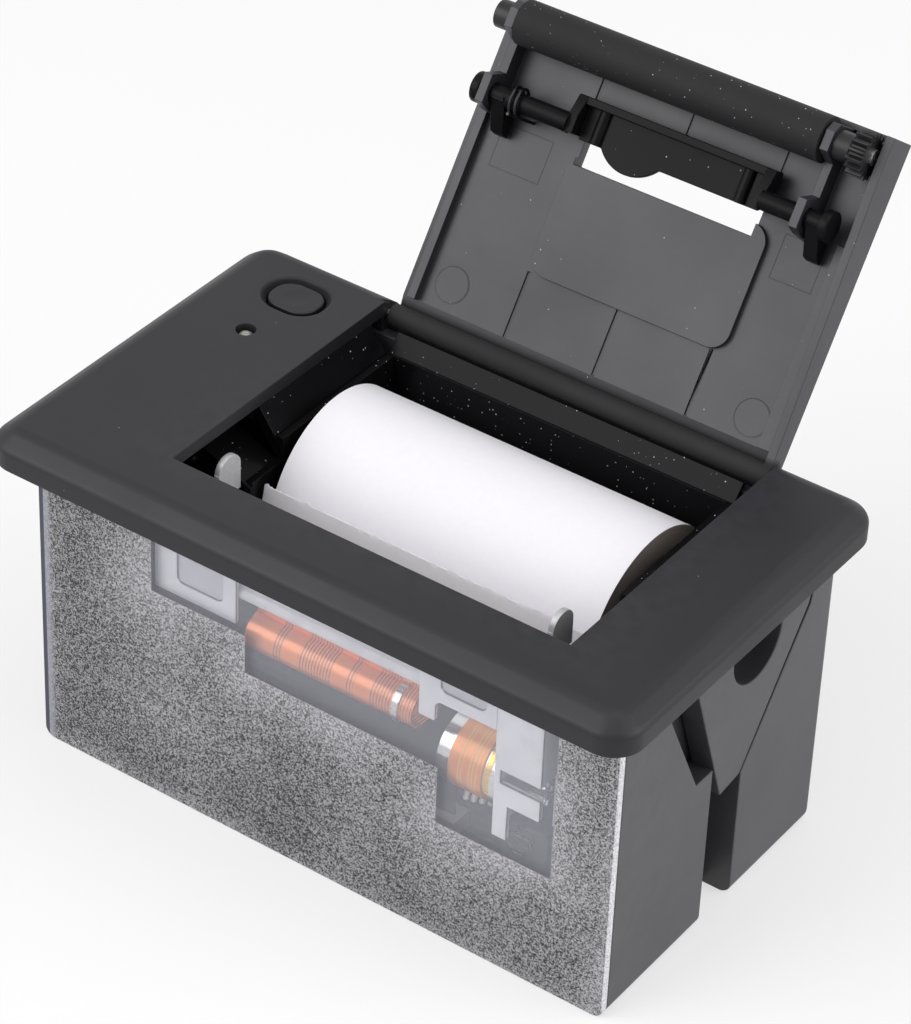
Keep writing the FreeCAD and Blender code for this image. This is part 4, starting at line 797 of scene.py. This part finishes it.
def torn_leader():
    """Loose end of the paper, standing in front of the roll with a torn upper edge."""
    columns = 190
    rows = 14
    frayed_columns = 14
    curl_from = 0.45
    torn_from = 0.97
    bpy.ops.mesh.primitive_grid_add(x_subdivisions=columns, y_subdivisions=rows, size=1.0)
    piece = named("torn_leader")
    draw = random.Random(5)
    left = leader_low.x - LEADER_EXTRA
    width = leader_high.x - left
    height = leader_high.z - leader_low.z
    lean = leader_high.y - leader_low.y - 2 * SHEET
    wander = 0.0
    tears = []
    for column in range(columns + 1):
        wander = 0.8 * wander + draw.uniform(-0.12, 0.12)
        fringe = draw.uniform(-0.5, 0.4) if column < frayed_columns else 0.0
        tears.append((wander + 0.6 * fringe - 0.5) * MM)
    for vertex in piece.data.vertices:
        across = vertex.co.x + 0.5
        up = vertex.co.y + 0.5
        column = round(across * columns)
        curl = max(0.0, up - curl_from) / (1.0 - curl_from)
        torn = min(tears[column], -0.05 * MM) if up > torn_from else 0.0
        vertex.co = Vector((
            left + across * width,
            leader_low.y + SHEET + lean * curl,
            leader_low.z + up * height + torn))
    only(piece)
    thick = piece.modifiers.new("sheet", "SOLIDIFY")
    thick.thickness = SHEET
    thick.offset = 0.0
    bpy.ops.object.modifier_apply(modifier="sheet")
    smooth(piece, 30.0)
    return finish_piece(piece, "body", "paper", LOOSE_PAPER, "paper_leader")


def ejector_mark(name, x, y):
    """Round mark that a mould leaves on the inside of the lid, with a groove near its edge."""
    thickness = 0.2 * MM
    shift = 0.02 * MM
    bpy.ops.mesh.primitive_cylinder_add(
        vertices=64, radius=EJECTOR_RADIUS, depth=thickness,
        location=(x * MM, y * MM, LID_INNER + shift))
    piece = settle(named(name))
    choose(piece, "FACE", lambda middle, face: face.normal.z < -FACING)
    start_edit(piece, "FACE")
    bpy.ops.mesh.inset(thickness=GROOVE_WIDTH)
    bpy.ops.transform.translate(value=(0, 0, GROOVE_DEPTH))
    bpy.ops.mesh.inset(thickness=0.1 * MM)
    bpy.ops.transform.translate(value=(0, 0, -GROOVE_DEPTH))
    end_edit()
    soften_sharp(piece, MARK_ROUND)
    return finish_piece(swung_open(piece), "lid", "black_plastic", FINISH["black_plastic"])


def outline_mark(name, x0, x1, y0, y1):
    """Rectangular parting line that an insert leaves on the inside of the lid."""
    thickness = 0.1 * MM
    proud = 0.03 * MM
    middle = ((x0 + x1) / 2 * MM, (y0 + y1) / 2 * MM, LID_INNER - proud)
    bpy.ops.mesh.primitive_plane_add(size=1.0, location=middle)
    piece = named(name)
    piece.scale = ((x1 - x0) * MM, (y1 - y0) * MM, 1.0)
    settle(piece)
    start_edit(piece, "FACE")
    bpy.ops.mesh.select_all(action="SELECT")
    bpy.ops.mesh.inset(thickness=PARTING_WIDTH)
    bpy.ops.mesh.delete(type="FACE")
    bpy.ops.mesh.select_all(action="SELECT")
    bpy.ops.mesh.extrude_region_move(TRANSFORM_OT_translate={"value": (0, 0, thickness)})
    face_outwards()
    end_edit()
    soften_sharp(piece, MARK_ROUND)
    return finish_piece(swung_open(piece), "lid", "black_plastic", LINE_BLACK)


def motor_end_ring():
    """Gold-coloured ring at the gear end of the motor can."""
    ring_length = 1.0 * MM
    wall = 0.28 * MM
    proud = 0.3 * MM
    centre = (can_low + can_high) / 2
    radius = (can_high.z - can_low.z) / 2
    bpy.ops.mesh.primitive_cylinder_add(
        vertices=96, radius=radius + proud, depth=ring_length,
        location=(can_high.x - ring_length / 2, centre.y, centre.z), rotation=(0, math.pi / 2, 0))
    piece = settle(named("motor_end_ring"))
    choose(piece, "FACE", lambda middle, face: abs(face.normal.x) > FACING)
    start_edit(piece, "FACE")
    bpy.ops.mesh.inset(thickness=wall)
    bpy.ops.mesh.delete(type="FACE")
    close_ends()
    end_edit()
    soften_sharp(piece, 0.06 * MM)
    return finish_piece(piece, "body", "nickel", RING_GOLD)


bezel_shell()
softened("housing", "housing_shell", "body", 0.25)
softened("front_cover", "front_plate", "body", 0.2)
softened("paper_bin", "paper_tray", "body", 0.08)
softened("lid_shell", "lid_panel", "lid", 0.1)
softened("release_lever", "lever_moulding", "lever", 0.16, material=LEVER_BLACK)
softened("mounting_clip_left", "side_clip_left", "clip_left", 0.3)
softened("mounting_clip_right", "side_clip_right", "clip_right", 0.3)
softened("mechanism_frame", "cast_frame", "body", 0.18)
softened("gear_bracket", "cast_bracket", "body", 0.18)
softened("fork_left", "left_fork_plate", "body", 0.12, material=FORK_GREY)
softened("fork_right", "right_fork_plate", "body", 0.12, material=FORK_GREY)
softened("feed_button", "button_cap", "button", 0.3, segments=3)
softened("platen_gear", "platen_spur_gear", "platen", 0.05)
wound_roll()
torn_leader()
ejector_mark("ejector_mark_left", -21.5, 21.0)
ejector_mark("ejector_mark_right", 31.9, 21.6)
outline_mark("insert_line_left", -23.2, -14.2, -4.4, 2.4)
outline_mark("insert_line_right", 26.1, 33.2, -4.8, 2.1)
motor_end_ring()


# Stage, light and camera

def looked_at(tree):
    """One for rays by which a thing is seen, straight, mirrored or through a clear piece, else none."""
    path = add_node(tree, "ShaderNodeLightPath")
    seen = calc(tree, "MAXIMUM", path.outputs["Is Camera Ray"], path.outputs["Is Transmission Ray"])
    return calc(tree, "MAXIMUM", seen, path.outputs["Is Glossy Ray"])


def plain_floor():
    """Pale floor, lifted towards white where it is looked at, with its shadow kept."""
    bpy.ops.mesh.primitive_plane_add(size=6.0, location=(0, 0, -0.1 * MM))
    floor = named("floor")
    material, tree, shader = new_material("pale_floor")
    shader.inputs["Roughness"].default_value = 0.9
    shader.inputs["Base Color"].default_value = (0.95, 0.95, 0.95, 1.0)
    white = add_node(tree, "ShaderNodeEmission")
    lift = calc(tree, "MULTIPLY", looked_at(tree), FLOOR_LIFT)
    both = add_node(tree, "ShaderNodeMixShader", {0: lift, 1: shader.outputs[0], 2: white.outputs[0]})
    tree.links.new(both.outputs[0], tree.nodes["Material Output"].inputs["Surface"])
    floor.data.materials.append(material)


def soft_box(name, place, size, power):
    """Round soft light that faces the object."""
    bpy.ops.object.light_add(type="AREA", location=place)
    lamp = bpy.context.active_object
    lamp.name = name
    lamp.data.shape = "DISK"
    lamp.data.size = size
    lamp.data.energy = power
    lamp.rotation_euler = (-Vector(place)).to_track_quat("-Z", "Y").to_euler()


def studio_light():
    """White sky, full where it is looked at and faint as a light, and three soft boxes."""
    world = bpy.data.worlds.new("studio")
    bpy.context.scene.world = world
    world.use_nodes = True
    tree = world.node_tree
    sky = tree.nodes["Background"]
    sky.inputs["Color"].default_value = (1.0, 1.0, 1.0, 1.0)
    feed(sky, "Strength", calc(tree, "MULTIPLY_ADD", looked_at(tree), 1.0 - SKY_LIGHT, SKY_LIGHT))
    soft_box("front_left", place=(-0.5, -0.72, 0.66), size=1.0, power=8.0)
    soft_box("overhead", place=(0.1, 0.0, 1.0), size=0.8, power=2.0)
    soft_box("right", place=(0.95, 0.3, 0.5), size=0.9, power=6.0)


def photo_camera():
    data = bpy.data.cameras.new("photo_camera")
    camera = bpy.data.objects.new("photo_camera", data)
    bpy.context.scene.collection.objects.link(camera)
    data.lens = CAMERA_LENS
    data.sensor_width = CAMERA_SENSOR
    data.shift_x = CAMERA_SHIFT_X
    data.clip_start = 10.0 * MM
    up = CAMERA_RIGHT.cross(CAMERA_FORWARD).normalized()
    turn = Matrix((CAMERA_RIGHT, up, -CAMERA_FORWARD)).transposed()
    camera.matrix_world = Matrix.Translation(CAMERA_AT) @ turn.to_4x4()
    bpy.context.scene.camera = camera


plain_floor()
studio_light()
photo_camera()
bpy.context.scene.view_settings.view_transform = "Standard"
